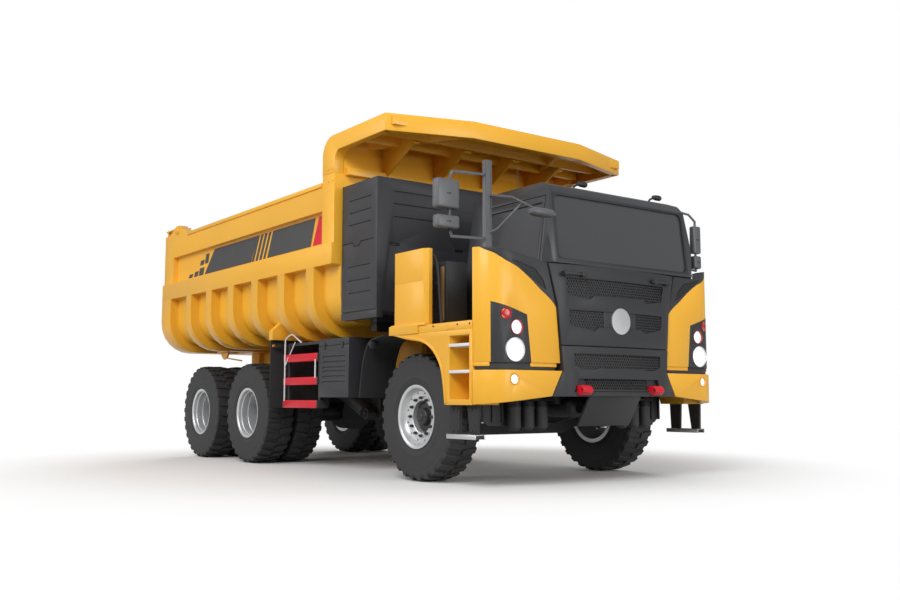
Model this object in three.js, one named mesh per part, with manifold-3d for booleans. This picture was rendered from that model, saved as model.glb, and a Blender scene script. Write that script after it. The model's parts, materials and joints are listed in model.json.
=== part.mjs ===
// Wide-body mining dump truck, 6x4, with an offset cab and a rear-tipping body.
// Millimetres, +Z up, the front of the truck towards -Y. Inside the truck group the
// front axle is at y = 0, the middle plane of the chassis at x = 0 and the ground at z = 0.
import * as THREE from 'three';
import { mergeVertices } from 'three/addons/utils/BufferGeometryUtils.js';
import Module from 'manifold-3d';

const wasm = await Module();
wasm.setup();

// ---------------------------------------------------------------- driving dimensions

const touch = 0.3;             // gap between pieces that seat on each other
const swing = 10;              // gap round a piece that moves
const sides = [['right', -1], ['left', 1]];

const wheelbase = 4275;        // front axle to forward rear axle
const bogieSpacing = 1800;     // forward rear axle to rearward rear axle
const tyreRadius = 750;
const tyreWidth = 430;
const tyreBeadRadius = 345;
const rimFlangeRadius = tyreBeadRadius + 30;
const rimWallRadius = tyreBeadRadius - 25;
const frontTrackHalf = 1436;   // middle plane to middle of a front tyre
const rearTrackHalf = 1358;    // middle plane to middle of a twin pair
const twinSpacing = 491;
const axleZ = 750;

const railInner = 420;
const railOuter = 500;
const railBottom = 900;
const railTop = 1300;
const frameFrontY = -1180;
const rearOverhang = 685;      // rearward rear axle to the end of the rails
const frameRearY = wheelbase + bogieSpacing + rearOverhang;
const kingpinX = 1120;
const steerArm = 300;          // kingpin to tie rod pin
const tieRodX = kingpinX;     // straight arms, so the linkage stays a parallelogram
const tieRodZ = 585;

const deckBottom = 1700;
const deckTop = 1790;
const deckFrontY = -1365;
const deckRearY = 200;
const frontHalfWidth = 1880;   // outer face of fenders, side guards and headlamp pods

const cabMiddleX = 200;        // the cab stands this far left of the middle plane
const cabHalfWidth = 1250;
const cabRoofHalfWidth = 1130;
const cabWall = 60;
const cabCornerRadius = 150;
const cabWaistZ = 2455;
const cabRoofZ = 3410;
const cabRearY = -200;
const cabChestY = -1600;       // lower front wall, behind the fascia
const cabNoseY = -1665;        // foot of the windscreen
const cabBrowY = -1570;        // head of the windscreen
const doorFrontY = -1530;
const doorWidth = 1010;        // hinged at its front edge
const doorTopZ = 3230;
const doorFrame = 50;         // door edge to glass
const doorBottomZ = 1900;
const glassThickness = 12;

const batteryHalfWidth = 1900;
const batteryFrontY = 473;
const batteryRearY = 1322;
const batteryBottomZ = 1945;
const batteryTopZ = 3690;

const bodyFrontY = 1363;       // front wall of the dump body
const bodyRearY = 7440;
const bodyHalfWidth = 2031;    // over the middle rails
const postHalfWidth = 2000;    // over posts, ribs and top rails
const panelHalfWidth = 1920;
const hullHalfWidth = 1890;
const loadHalfWidth = 1850;    // inside of the load space
const hullCornerX = 1500;      // centre of the round corner of the hull
const hullCornerZ = 2300;
const ribDepthX = 530;         // corner radius over the ribs
const bodyTopZ = 3800;
const topRailZ = 3420;
const midRailTopZ = 2964;
const midRailBottomZ = 2690;
const ribWidth = 220;
const ribSpacing = 850;
const firstRibY = 1940;
const rearPostY = 7020;
const postDepthY = 315;
const gateThickness = 80;
const tipHinge = [6650, 1400];     // y, z
const gateHinge = [6880, 3890];    // y, z
const hoistBase = [2600, 750];     // y, z
const hoistHead = [4600, 1620];    // y, z
const hoistX = railOuter + 180;

const canopyFrontY = -190;
const canopyCornerY = 147;
const canopyKinkX = 905;
const canopyHalfWidth = 2005;
const canopyTopZ = 4390;
const canopyLipZ = 4175;

const fasciaY = -1745;         // face of the centre panel and the bumper at the middle plane
const fasciaEdgeX = 1030;      // where the bowed face has fallen back by fasciaBow
const fasciaBow = 95;
const panelThickness = 40;
const bumperThickness = 120;
const podFaceY = -1640;
const podCornerRadius = 390;
const podRearY = deckFrontY - 5;
const podBottomZ = 1345;
const podTopZ = 2570;          // at the outer end
const bumperTopZ = 1262;

const mastX = -1615;
const mirrorReach = 2320;      // outer edge of the right-hand mirrors
const frontReach = 1945;       // front of the front mirror

// ---------------------------------------------------------------- materials

function paint(color, roughness, metalness = 0) {
  return new THREE.MeshStandardMaterial({ color, roughness, metalness });
}
const yellow = paint(0xf2b233, 0.45);
const charcoal = paint(0x4a4b4e, 0.5);
const blackPaint = paint(0x1c1d1f, 0.6);
const rubber = paint(0x2c2c2d, 0.9);
const silver = paint(0xc9cbcd, 0.35, 0.8);
const red = paint(0xd8142a, 0.45);
const darkGlass = paint(0x2a2c30, 0.1);
const chrome = paint(0xdedede, 0.15, 1);
const seatFabric = paint(0x303033, 0.9);

// ---------------------------------------------------------------- solid helpers

function toSolid(geometry) {
  const bare = geometry.clone();
  bare.deleteAttribute('normal');
  bare.deleteAttribute('uv');
  const merged = mergeVertices(bare, 1e-3);
  return new wasm.Manifold(new wasm.Mesh({
    numProp: 3,
    vertProperties: new Float32Array(merged.attributes.position.array),
    triVerts: new Uint32Array(merged.index.array),
  }));
}

function toGeometry(solid) {
  const mesh = solid.getMesh();
  const geometry = new THREE.BufferGeometry();
  geometry.setAttribute('position', new THREE.BufferAttribute(new Float32Array(mesh.vertProperties), 3));
  geometry.setIndex(new THREE.BufferAttribute(new Uint32Array(mesh.triVerts), 1));
  geometry.computeVertexNormals();
  return geometry;
}

function join(...solids) {
  return solids.flat().reduce((total, solid) => total.add(solid));
}

function cut(solid, ...tools) {
  return tools.flat().reduce((rest, tool) => rest.subtract(tool), solid);
}

function block(x0, x1, y0, y1, z0, z1) {
  const geometry = new THREE.BoxGeometry(Math.abs(x1 - x0), Math.abs(y1 - y0), Math.abs(z1 - z0));
  geometry.translate((x0 + x1) / 2, (y0 + y1) / 2, (z0 + z1) / 2);
  return toSolid(geometry);
}

// An outline of [a, b] points swept along one axis: (y, z) along x, (x, z) along y, (x, y) along z.
function prism(axis, points, from, to) {
  const shape = new THREE.Shape(points.map(([a, b]) => new THREE.Vector2(a, b)));
  const low = Math.min(from, to);
  const high = Math.max(from, to);
  const geometry = new THREE.ExtrudeGeometry(shape, { depth: high - low, bevelEnabled: false });
  const [ex, ey, ez] = [new THREE.Vector3(1, 0, 0), new THREE.Vector3(0, 1, 0), new THREE.Vector3(0, 0, 1)];
  const turn = new THREE.Matrix4();
  if (axis === 'x') turn.makeBasis(ey, ez, ex).setPosition(low, 0, 0);
  if (axis === 'y') turn.makeBasis(ex, ez, ey.clone().negate()).setPosition(0, high, 0);
  if (axis === 'z') turn.setPosition(0, 0, low);
  geometry.applyMatrix4(turn);
  return toSolid(geometry);
}

function bar(from, to, radius, segments = 16) {
  const start = new THREE.Vector3(...from);
  const way = new THREE.Vector3(...to).sub(start);
  const geometry = new THREE.CylinderGeometry(radius, radius, way.length(), segments);
  geometry.translate(0, way.length() / 2, 0);
  geometry.applyQuaternion(new THREE.Quaternion().setFromUnitVectors(
    new THREE.Vector3(0, 1, 0), way.clone().normalize()));
  geometry.translate(...from);
  return toSolid(geometry);
}

// Straight bars through a list of points, with a round knee at each inner point.
function bentBar(points, radius, segments = 8) {
  const runs = points.slice(1).map((point, i) => bar(points[i], point, radius, segments));
  const knees = points.slice(1, -1).map((point) => {
    const knee = new THREE.SphereGeometry(radius, segments, segments / 2);
    knee.translate(...point);
    return toSolid(knee);
  });
  return join(...runs, ...knees);
}

function arc(centreA, centreB, radius, fromDeg, toDeg, steps) {
  return Array.from({ length: steps + 1 }, (_, i) => {
    const angle = THREE.MathUtils.degToRad(fromDeg + ((toDeg - fromDeg) * i) / steps);
    return [centreA + radius * Math.cos(angle), centreB + radius * Math.sin(angle)];
  });
}

function mirrored(points) {
  return points.map(([x, other]) => [-x, other]).reverse();
}

function flip(points, side) {
  return points.map(([x, other]) => [side * x, other]);
}

// A turned piece: [outboard, radius] points round the wheel axis, closed on the axis or on itself.
function turned(points, segments, closed) {
  const outline = closed ? [...points, points[0]] : points;
  const profile = outline.map(([along, radius]) => new THREE.Vector2(radius, along));
  const geometry = new THREE.LatheGeometry(profile, segments, Math.PI / segments);
  geometry.rotateZ(-Math.PI / 2);
  const solid = toSolid(geometry);
  return solid.volume() < 0 ? toSolid(turnInsideOut(geometry)) : solid;
}

function turnInsideOut(geometry) {
  const copy = geometry.clone();
  const index = copy.index.array;
  for (let i = 0; i < index.length; i += 3) {
    [index[i], index[i + 1]] = [index[i + 1], index[i]];
  }
  return copy;
}

// ---------------------------------------------------------------- assembly

const truck = new THREE.Group();
truck.position.set((mirrorReach - bodyHalfWidth) / 2, (frontReach - bodyRearY) / 2, 0);

function place(name, solid, material, position = [0, 0, 0], turnZ = 0) {
  const mesh = new THREE.Mesh(toGeometry(solid), material);
  mesh.name = name;
  mesh.position.set(...position);
  mesh.rotation.z = turnZ;
  truck.add(mesh);
}

// ---------------------------------------------------------------- wheels

const tyreFacets = 28;
const rimFacets = 20;
const treadRadius = tyreRadius / Math.cos(Math.PI / tyreFacets);   // flats of the tread at tyreRadius
const rimSeatRadius = tyreBeadRadius * Math.cos(Math.PI / tyreFacets) - touch;
const beadHalf = 185;
const rimHalf = 205;

// Half of a tyre's section, [from its middle, radius], bead to tread.
function tyreSide() {
  const half = tyreWidth / 2;
  return [
    [beadHalf, tyreBeadRadius], [beadHalf, rimFlangeRadius + 7], [half - 2, 0.62 * treadRadius],
    [half, 0.8 * treadRadius],
    [half - 10, 0.94 * treadRadius], [half - 50, treadRadius],
  ];
}

function frontTyre() {
  const near = tyreSide();
  const far = near.map(([x, r]) => [-x, r]).reverse();
  return turned([...near, ...far], tyreFacets, true);
}

// Both tyres of a twin pair, with the spacer band between their rims.
function twinTyres() {
  const near = tyreSide();
  const far = near.map(([x, r]) => [-x, r]).reverse();
  const shift = twinSpacing / 2;
  const outer = [...near, ...far.slice(0, -1)].map(([x, r]) => [x + shift, r]);
  const inner = [...near.slice(1), ...far].map(([x, r]) => [x - shift, r]);
  return turned([...outer, ...inner], tyreFacets, true);
}

function frontRim() {
  const seat = rimSeatRadius;
  return turned([
    [150, 0], [150, 105], [85, 125], [85, 235], [125, 300], [rimHalf, rimWallRadius],
    [rimHalf, rimFlangeRadius], [beadHalf + touch, rimFlangeRadius], [beadHalf + touch, seat],
    [-beadHalf - touch, seat], [-beadHalf - touch, rimFlangeRadius], [-rimHalf, rimFlangeRadius],
    [-rimHalf, rimWallRadius], [60, rimWallRadius], [55, 200], [-130, 200], [-130, 170], [-20, 170],
    [-20, 0],
  ], rimFacets, false);
}

function rearRim() {
  const seat = rimSeatRadius;
  const shift = twinSpacing / 2;
  const edge = shift + beadHalf + touch;
  return turned([
    [170, 0], [170, 130], [30, 150], [30, rimWallRadius], [shift + rimHalf, rimWallRadius],
    [shift + rimHalf, rimFlangeRadius], [edge, rimFlangeRadius], [edge, seat],
    [-edge, seat], [-edge, rimFlangeRadius], [-shift - rimHalf, rimFlangeRadius],
    [-shift - rimHalf, rimWallRadius], [0, rimWallRadius], [0, 200], [-300, 200], [-300, 170],
    [-40, 170], [-40, 0],
  ], rimFacets, false);
}

for (const [name, side] of sides) {
  const turnZ = side < 0 ? Math.PI : 0;
  place(`front_tyre_${name}`, frontTyre(), rubber, [side * frontTrackHalf, 0, axleZ]);
  place(`front_rim_${name}`, frontRim(), silver, [side * frontTrackHalf, 0, axleZ], turnZ);
}
const rearAxles = [['forward', wheelbase], ['rearward', wheelbase + bogieSpacing]];
for (const [axle, y] of rearAxles) {
  for (const [name, side] of sides) {
    const turnZ = side < 0 ? Math.PI : 0;
    place(`${axle}_tyres_${name}`, twinTyres(), rubber, [side * rearTrackHalf, y, axleZ]);
    place(`${axle}_rim_${name}`, rearRim(), silver, [side * rearTrackHalf, y, axleZ], turnZ);
  }
}

// ---------------------------------------------------------------- axles and steering

const axleEyeHalf = 100;       // half height of the axle's kingpin eye
const springHalfLength = 800;
const springEyeZ = 860;

function frontAxle() {
  const end = kingpinX - 60;
  const beam = prism('y', [
    [-end, axleZ + 60], [-700, 660], [700, 660], [end, axleZ + 60], [end, axleZ - 70],
    [650, 520], [-650, 520], [-end, axleZ - 70],
  ], -75, 75);
  const parts = [beam];
  for (const [, side] of sides) {
    const x = side * kingpinX;
    parts.push(bar([x, 0, axleZ - axleEyeHalf], [x, 0, axleZ + axleEyeHalf], 85));
    parts.push(prism('x', [
      [-springHalfLength, springEyeZ - 60], [-400, 705], [-150, 655], [150, 655], [400, 705],
      [springHalfLength, springEyeZ - 60], [springHalfLength, springEyeZ], [400, 800], [0, 780],
      [-400, 800], [-springHalfLength, springEyeZ],
    ], side * (railInner + 5), side * (railOuter - 5)));
  }
  return join(...parts);
}

function knuckle(side) {
  const x = side * kingpinX;
  const fork = axleEyeHalf + 1;
  const spindleEnd = frontTrackHalf - 20 - touch;
  const plate = (z0, z1) => join(
    bar([x, 0, z0], [x, 0, z1], 85),
    block(x, side * (kingpinX + 130), -80, 80, z0, z1),
  );
  return join(
    plate(axleZ + fork, axleZ + fork + 60),
    plate(axleZ - fork - 60, axleZ - fork),
    block(side * (kingpinX + 95), side * (kingpinX + 135), -100, 100, axleZ - fork - 60, axleZ + fork + 60),
    bar([side * (kingpinX + 100), 0, axleZ], [side * spindleEnd, 0, axleZ], 85),
    block(side * tieRodX - 35, side * tieRodX + 35, 0, steerArm, axleZ - fork - 60, axleZ - fork - 15),
    bar([side * tieRodX, steerArm, tieRodZ - 45], [side * tieRodX, steerArm, axleZ - fork - 15], 18),
    bar([side * tieRodX, steerArm, axleZ - fork - 60], [side * tieRodX, steerArm, axleZ - fork - 15], 50),
  );
}

function tieRod() {
  const eyes = sides.map(([, side]) => bar(
    [side * tieRodX, steerArm, tieRodZ - 35], [side * tieRodX, steerArm, tieRodZ - 8], 48));
  const holes = sides.map(([, side]) => bar(
    [side * tieRodX, steerArm, tieRodZ - 60], [side * tieRodX, steerArm, tieRodZ + 60], 20));
  return cut(join(bar([-tieRodX, steerArm, tieRodZ - 22], [tieRodX, steerArm, tieRodZ - 22], 20), ...eyes),
    ...holes);
}

const springInner = railOuter + 90;
const springOuter = railOuter + 220;
const springSeatZ = 925;

function rearAxle(y) {
  const spindleEnd = rearTrackHalf - 40 - touch;
  const parts = [
    bar([-spindleEnd, y, axleZ], [spindleEnd, y, axleZ], 140),
    bar([0, y - 220, axleZ], [0, y + 220, axleZ], 270),
  ];
  for (const [, side] of sides) {
    parts.push(block(side * springInner, side * springOuter, y - 90, y + 90, axleZ, springSeatZ - touch));
  }
  return join(...parts);
}

function rearSuspension() {
  const middle = wheelbase + bogieSpacing / 2;
  const reach = bogieSpacing / 2 + 90;
  const trunnion = block(-springOuter, springOuter, middle - 90, middle + 90, 700, railBottom - touch);
  const packs = sides.map(([, side]) => prism('x', [
    [middle - reach, springSeatZ], [middle - 300, springSeatZ], [middle - 90, railBottom - 20],
    [middle + 90, railBottom - 20], [middle + 300, springSeatZ], [middle + reach, springSeatZ],
    [middle + reach, springSeatZ + 50], [middle + 200, 1080], [middle - 200, 1080],
    [middle - reach, springSeatZ + 50],
  ], side * springInner, side * springOuter));
  return join(trunnion, ...packs);
}

place('front_axle', frontAxle(), blackPaint);
for (const [name, side] of sides) place(`steering_knuckle_${name}`, knuckle(side), blackPaint);
place('tie_rod', tieRod(), blackPaint);
for (const [axle, y] of rearAxles) place(`${axle}_axle`, rearAxle(y), blackPaint);
place('rear_suspension', rearSuspension(), blackPaint);

// ---------------------------------------------------------------- frame

const crossWidth = 120;
const hoistPin = 45;
const hingePin = 40;
const lugInner = railOuter + 10;     // plates of the dump body that turn on the hinge pins
const lugOuter = railOuter + 80;
const sideBoxInner = 1300;
const outriggers = [1400, 1900];       // y of the arms that carry the side boxes

function frame() {
  const crossAt = [frameFrontY + 60, 820, 1500, 2450, 3400, wheelbase + bogieSpacing / 2, frameRearY - 80];
  const parts = [];
  for (const y of crossAt) {
    parts.push(block(-railOuter, railOuter, y - crossWidth / 2, y + crossWidth / 2, railBottom + 60, railTop - 60));
  }
  for (const [, side] of sides) {
    const [inner, outer] = [side * railInner, side * railOuter];
    parts.push(block(inner, outer, frameFrontY, frameRearY, railBottom, railTop));
    for (const y of [deckFrontY + 365, deckRearY - 100]) {
      parts.push(block(inner, outer, y - 80, y + 80, railTop - 10, deckBottom - touch));
    }
    for (const y of [630, 1170]) {
      parts.push(block(inner, outer, y - 70, y + 70, railTop - 10, batteryBottomZ - touch));
    }
    for (const y of [-springHalfLength + 50, springHalfLength - 50]) {
      parts.push(block(inner, outer, y - 50, y + 50, springEyeZ + touch, railBottom + 10));
    }
    for (const y of outriggers) {
      parts.push(block(outer, side * (sideBoxInner - touch), y - 50, y + 50, 1150, 1250));
    }
    parts.push(block(side * (railInner + 10), side * (railOuter - 10), tipHinge[0] - 90, tipHinge[0] + 90, railTop - 10, tipHinge[1] + 60));
    parts.push(bar([side * (railInner + 20), ...tipHinge], [side * (lugOuter + 20), ...tipHinge], hingePin));
    parts.push(block(outer, side * (hoistX - 125), hoistBase[0] - 110, hoistBase[0] + 110, hoistBase[1] - 90, railBottom + 100));
    parts.push(bar([side * (hoistX - 135), ...hoistBase], [side * (hoistX + 90), ...hoistBase], hoistPin));
  }
  for (const y of [630, 1170]) {
    parts.push(block(-1500, 1500, y - 70, y + 70, batteryBottomZ - 120, batteryBottomZ - touch));
  }
  return join(...parts);
}

place('frame', frame(), blackPaint);
place('drive_motor', block(-330, 330, 1560 + touch, 2390 - touch, 760, railTop - 40), blackPaint);

// ---------------------------------------------------------------- tipping hoist

const hoistWay = new THREE.Vector2(hoistHead[0] - hoistBase[0], hoistHead[1] - hoistBase[1]);
const hoistLength = hoistWay.length();
const barrelLength = hoistLength - 230;
const barrelRadius = 110;
const rodRadius = 55;
const hoistBeamHalf = hoistX - 80;

function alongHoist(side, distance, offset = 0) {
  const unit = hoistWay.clone().normalize();
  return [side * (hoistX + offset), hoistBase[0] + unit.x * distance, hoistBase[1] + unit.y * distance];
}

function hoistBarrel(side) {
  const eye = bar([side * (hoistX - 68), ...hoistBase], [side * (hoistX + 68), ...hoistBase], 85);
  const hole = bar([side * (hoistX - 80), ...hoistBase], [side * (hoistX + 100), ...hoistBase], hoistPin + 3);
  const tube = bar(alongHoist(side, 60), alongHoist(side, barrelLength), barrelRadius);
  const bore = bar(alongHoist(side, 200), alongHoist(side, barrelLength + 10), rodRadius + touch);
  return cut(join(tube, eye), bore, hole);
}

function hoistRod(side) {
  const eye = bar([side * (hoistX - 58), ...hoistHead], [side * (hoistX + 58), ...hoistHead], 80);
  const pin = bar([side * (hoistBeamHalf + swing), ...hoistHead], [side * (hoistX + 85), ...hoistHead], hoistPin);
  return join(bar(alongHoist(side, 230), alongHoist(side, hoistLength - 30), rodRadius), eye, pin);
}

for (const [name, side] of sides) {
  place(`hoist_barrel_${name}`, hoistBarrel(side), blackPaint);
  place(`hoist_rod_${name}`, hoistRod(side), chrome);
}

// ---------------------------------------------------------------- dump body

const gateY = bodyRearY - gateThickness - 20;
const hullRadius = hullHalfWidth - hullCornerX;
const loadRadius = loadHalfWidth - hullCornerX;
const floorZ = hullCornerZ - loadRadius;
const ribBottomZ = hullCornerZ - ribDepthX;
const hullSeat = hullCornerZ - hullRadius + 10;

// Right half of a U, from its top edge down round the corner to the middle plane.
function halfU(radius, top) {
  return [[hullCornerX + radius, top], ...arc(hullCornerX, hullCornerZ, radius, 0, -90, 6)];
}

function fullU(radius, top) {
  const half = halfU(radius, top);
  return [...half, ...mirrored(half)];
}

function hull() {
  const half = [
    [postHalfWidth, bodyTopZ], [postHalfWidth, topRailZ], [panelHalfWidth, topRailZ],
    [panelHalfWidth, midRailTopZ], [bodyHalfWidth, midRailTopZ], [bodyHalfWidth, midRailBottomZ],
    ...halfU(hullRadius, midRailBottomZ),
  ];
  const outer = prism('y', [...half, ...mirrored(half)], bodyFrontY, gateY - swing);
  return cut(outer, prism('y', fullU(loadRadius, bodyTopZ + 100), bodyFrontY + 40, bodyRearY));
}

function rib(y0, y1, top) {
  const ring = prism('y', fullU(ribDepthX, top), y0, y1);
  return cut(ring, prism('y', fullU(loadRadius + 20, bodyTopZ + 900), y0 - 10, y1 + 10));
}

function ribPositions() {
  const count = Math.floor((rearPostY - firstRibY - ribWidth / 2) / ribSpacing) + 1;
  return Array.from({ length: count }, (_, i) => firstRibY + i * ribSpacing);
}

function tub() {
  const parts = [hull()];
  for (const y of ribPositions()) parts.push(rib(y - ribWidth / 2, y + ribWidth / 2, midRailBottomZ + 50));
  parts.push(rib(rearPostY, bodyRearY, midRailBottomZ + 50));
  parts.push(block(-loadHalfWidth - 10, loadHalfWidth + 10, bodyFrontY, bodyFrontY + 40, bodyTopZ - 100,
    canopyLipZ - touch));
  for (const [, side] of sides) {
    const [inner, outer] = [side * loadHalfWidth, side * postHalfWidth];
    parts.push(block(inner, outer, bodyFrontY, bodyFrontY + postDepthY, midRailTopZ - 20, 3890 - touch));
    parts.push(block(inner, outer, rearPostY, bodyRearY, midRailTopZ - 20, bodyTopZ + 40));
    parts.push(block(inner, side * bodyHalfWidth, rearPostY, bodyRearY, midRailBottomZ, midRailTopZ));
    parts.push(prism('x', [
      [gateHinge[0] - 480, bodyTopZ - 10], [gateHinge[0] - 80, gateHinge[1] + 80],
      [gateHinge[0] + 80, gateHinge[1] + 80], [gateHinge[0] + 480, bodyTopZ - 10],
    ], side * (loadHalfWidth + 15), outer));
    parts.push(bar([side * (loadHalfWidth - 80), ...gateHinge], [side * (loadHalfWidth + 60), ...gateHinge], 28));
    parts.push(block(side * 400, side * 760, tipHinge[0] - 380, rearPostY + 20, ribBottomZ, hullSeat));
    parts.push(block(side * railInner, side * 800, hoistHead[0] - 200, hoistHead[0] + 200, ribBottomZ, hullSeat));
    parts.push(prism('y', flip([
      [950, flapTopZ], [950, ribBottomZ + 170], [hullCornerX + 60, ribBottomZ + 170],
      [hullCornerX + 290, 2050], [bodyHalfWidth - 110, 1930], [bodyHalfWidth - 110, flapTopZ],
    ], side), flapY - 60, flapY + 60));
  }
  return join(...parts);
}

// Sills under the ribs, with the hoist beam, a front cross beam and the lugs of the tipping hinge.
function bodySubframe() {
  const top = ribBottomZ - touch;
  const front = bodyFrontY + 150;
  const parts = [
    block(-railInner - 5, railInner + 5, front + 30, front + 130, 1450, 1600),
    block(-hoistBeamHalf, hoistBeamHalf, hoistHead[0] - 90, hoistHead[0] + 90, hoistHead[1] - 60, top),
  ];
  for (const [, side] of sides) {
    parts.push(block(side * railInner, side * railOuter, front, tipHinge[0] - 150, railTop + 15, top));
    parts.push(block(side * railInner, side * lugOuter, tipHinge[0] - 170, tipHinge[0] + 150,
      tipHinge[1] + 130, top));
    const lug = join(
      bar([side * lugInner, ...tipHinge], [side * lugOuter, ...tipHinge], 85),
      block(side * lugInner, side * lugOuter, tipHinge[0] - 85, tipHinge[0] + 85, tipHinge[1], top),
    );
    parts.push(cut(lug, bar([side * (lugInner - 20), ...tipHinge], [side * (lugOuter + 20), ...tipHinge],
      hingePin + 1)));
  }
  return join(...parts);
}

// Canopy over the battery box and the cab: top plate, deep lip all round, cross beams, side plates.
function canopy() {
  const plan = [
    [-canopyHalfWidth, bodyFrontY + 60], [-canopyHalfWidth, canopyCornerY], [-canopyKinkX, canopyFrontY],
    [canopyKinkX, canopyFrontY], [canopyHalfWidth, canopyCornerY], [canopyHalfWidth, bodyFrontY + 60],
  ];
  const inside = [
    [-canopyHalfWidth + 30, bodyFrontY + 20], [-canopyHalfWidth + 30, canopyCornerY + 25],
    [-canopyKinkX, canopyFrontY + 30], [canopyKinkX, canopyFrontY + 30],
    [canopyHalfWidth - 30, canopyCornerY + 25], [canopyHalfWidth - 30, bodyFrontY + 20],
  ];
  const tray = cut(prism('z', plan, canopyLipZ, canopyTopZ), prism('z', inside, canopyLipZ - 10, canopyTopZ - 30));
  const side = [
    [bodyFrontY - 300, canopyLipZ + 20], [bodyFrontY - 300, canopyTopZ], [bodyFrontY + 60, canopyTopZ],
    ...arc(bodyFrontY + 65, canopyTopZ - 250, 250, 90, 0, 5),
    [bodyFrontY + postDepthY, 3890], [bodyFrontY, 3890],
    ...arc(bodyFrontY - 170, canopyLipZ - 150, 170, 0, 75, 4),
  ];
  const parts = [tray];
  for (const [, way] of sides) {
    parts.push(prism('x', side, way * (loadHalfWidth + 15), way * canopyHalfWidth));
    parts.push(prism('z', flip([
      [canopyKinkX - 320, canopyFrontY + 20], [canopyKinkX - 260, canopyFrontY + 20],
      [1500, bodyFrontY + 30], [1440, bodyFrontY + 30],
    ], way), canopyTopZ - 130, canopyTopZ - 20));
  }
  parts.push(block(-canopyHalfWidth + 20, canopyHalfWidth - 20, 560, 620, canopyTopZ - 130, canopyTopZ - 20));
  return join(...parts);
}

function tailgate() {
  const reach = loadRadius - swing;
  const plate = prism('y', [
    [hullCornerX + reach, bodyTopZ - 60], ...arc(hullCornerX, hullCornerZ, reach, 0, -90, 6),
    ...mirrored([[hullCornerX + reach, bodyTopZ - 60], ...arc(hullCornerX, hullCornerZ, reach, 0, -90, 6)]),
  ], gateY, gateY + gateThickness);
  const parts = [plate];
  for (const z of [2250, 2850, 3450]) {
    parts.push(block(-loadHalfWidth + 60, loadHalfWidth - 60, gateY + gateThickness - 10, bodyRearY, z - 70, z + 70));
  }
  for (const [, side] of sides) {
    const [inner, outer] = [side * (loadHalfWidth - 75), side * (loadHalfWidth - 15)];
    const arm = prism('x', [
      [gateHinge[0] - 60, gateHinge[1] - 60], [gateHinge[0] - 60, gateHinge[1] + 60],
      [gateY + gateThickness, gateHinge[1] + 60], [gateY + gateThickness, bodyTopZ - 260],
      [gateY, bodyTopZ - 260], [gateY - 60, gateHinge[1] - 60],
    ], inner, outer);
    parts.push(cut(arm, bar([side * 1700, ...gateHinge], [side * 1900, ...gateHinge], 31)));
  }
  return join(...parts);
}

const flapY = 3290;
const flapTopZ = 1800;
const flapBottomZ = 830;

place('dump_tub', tub(), yellow);
place('body_subframe', bodySubframe(), yellow);
place('canopy', canopy(), yellow);
place('tailgate', tailgate(), yellow);
for (const [name, side] of sides) {
  place(`mud_flap_${name}`, block(side * 950, side * (bodyHalfWidth - 110), flapY - 7, flapY + 7, flapBottomZ,
    flapTopZ - touch), rubber);
}

// ---------------------------------------------------------------- battery box and side equipment

const sideBoxOuter = 1800;
const sideBoxY = [1288, 2080];
const sideBoxZ = [978, 1750];
const ladderY = [sideBoxY[1] + touch, 3100];
const ladderSteps = [837, 1153, 1475];
const ladderStepHeight = 100;

function batteryBox() {
  const half = batteryHalfWidth;
  const box = block(-half, half, batteryFrontY, batteryRearY, batteryBottomZ, batteryTopZ);
  const under = block(-half + 90, half - 90, batteryFrontY - 10, batteryRearY + 10, batteryBottomZ - 10,
    batteryBottomZ + 85);
  const feet = [630, 1170].map((y) => block(-1500, 1500, y - 70, y + 70, batteryBottomZ, batteryBottomZ + 90));
  return join(cut(box, under), ...feet);
}

function sideLadder() {
  const outer = -sideBoxOuter - 10;
  const parts = ladderSteps.map((z) => block(outer, outer + 150, ladderY[0], ladderY[1], z, z + ladderStepHeight));
  for (const y of [ladderY[0] + 60, ladderY[1] - 60]) {
    parts.push(block(outer + 60, outer + 100, y - 20, y + 20, ladderSteps[0] + 10, 1740));
  }
  parts.push(block(outer + 60, outer + 100, ladderY[0] + 40, ladderY[1] - 40, 1700, 1740));
  parts.push(block(outer + 60, -railOuter - touch, 2700, 2780, 1190, 1250));
  return join(...parts);
}

place('battery_box', batteryBox(), charcoal);
for (const [name, side] of sides) {
  place(`side_box_${name}`, block(side * sideBoxInner, side * sideBoxOuter, ...sideBoxY, ...sideBoxZ), charcoal);
}
place('side_ladder', sideLadder(), red);

// ---------------------------------------------------------------- deck, fenders, side guards

const wellFrontY = podRearY + touch;
const wellRearY = -930;
const wellInner = 1500;
const fenderBottomZ = 894;
const treads = [1235, 1520];
const guardY = [-540, 100];
const guardTopZ = 2670;
const guardDepth = 90;
const cabinetX = [-1560, -1260];
const cabinetTopZ = 2550;

function fender(side) {
  const outer = side * frontHalfWidth;
  const arch = [
    [140, deckBottom - touch], [-150, 1640], [-420, 1605], [-650, 1540], [-800, 1362], [-848, 1240],
    [-905, fenderBottomZ], [wellFrontY, fenderBottomZ], [wellFrontY, deckBottom - touch],
  ];
  const skin = prism('x', arch, side * (frontHalfWidth - 40), outer);
  const wellOutline = [
    [-860, deckBottom - touch], [-860, 1300], [-985, fenderBottomZ], [wellFrontY, fenderBottomZ],
    [wellFrontY, deckBottom - touch],
  ];
  const well = prism('x', wellOutline, side * wellInner, outer);
  const recess = block(side * (wellInner + 60), side * (frontHalfWidth + 10), wellFrontY + 30, wellRearY - 60,
    fenderBottomZ + 60, deckBottom - 60);
  const steps = treads.map((z) => block(side * (wellInner + 50), outer, wellFrontY + 20, wellRearY - 40, z, z + 25));
  return join(cut(join(skin, well), recess), ...steps);
}

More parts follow.
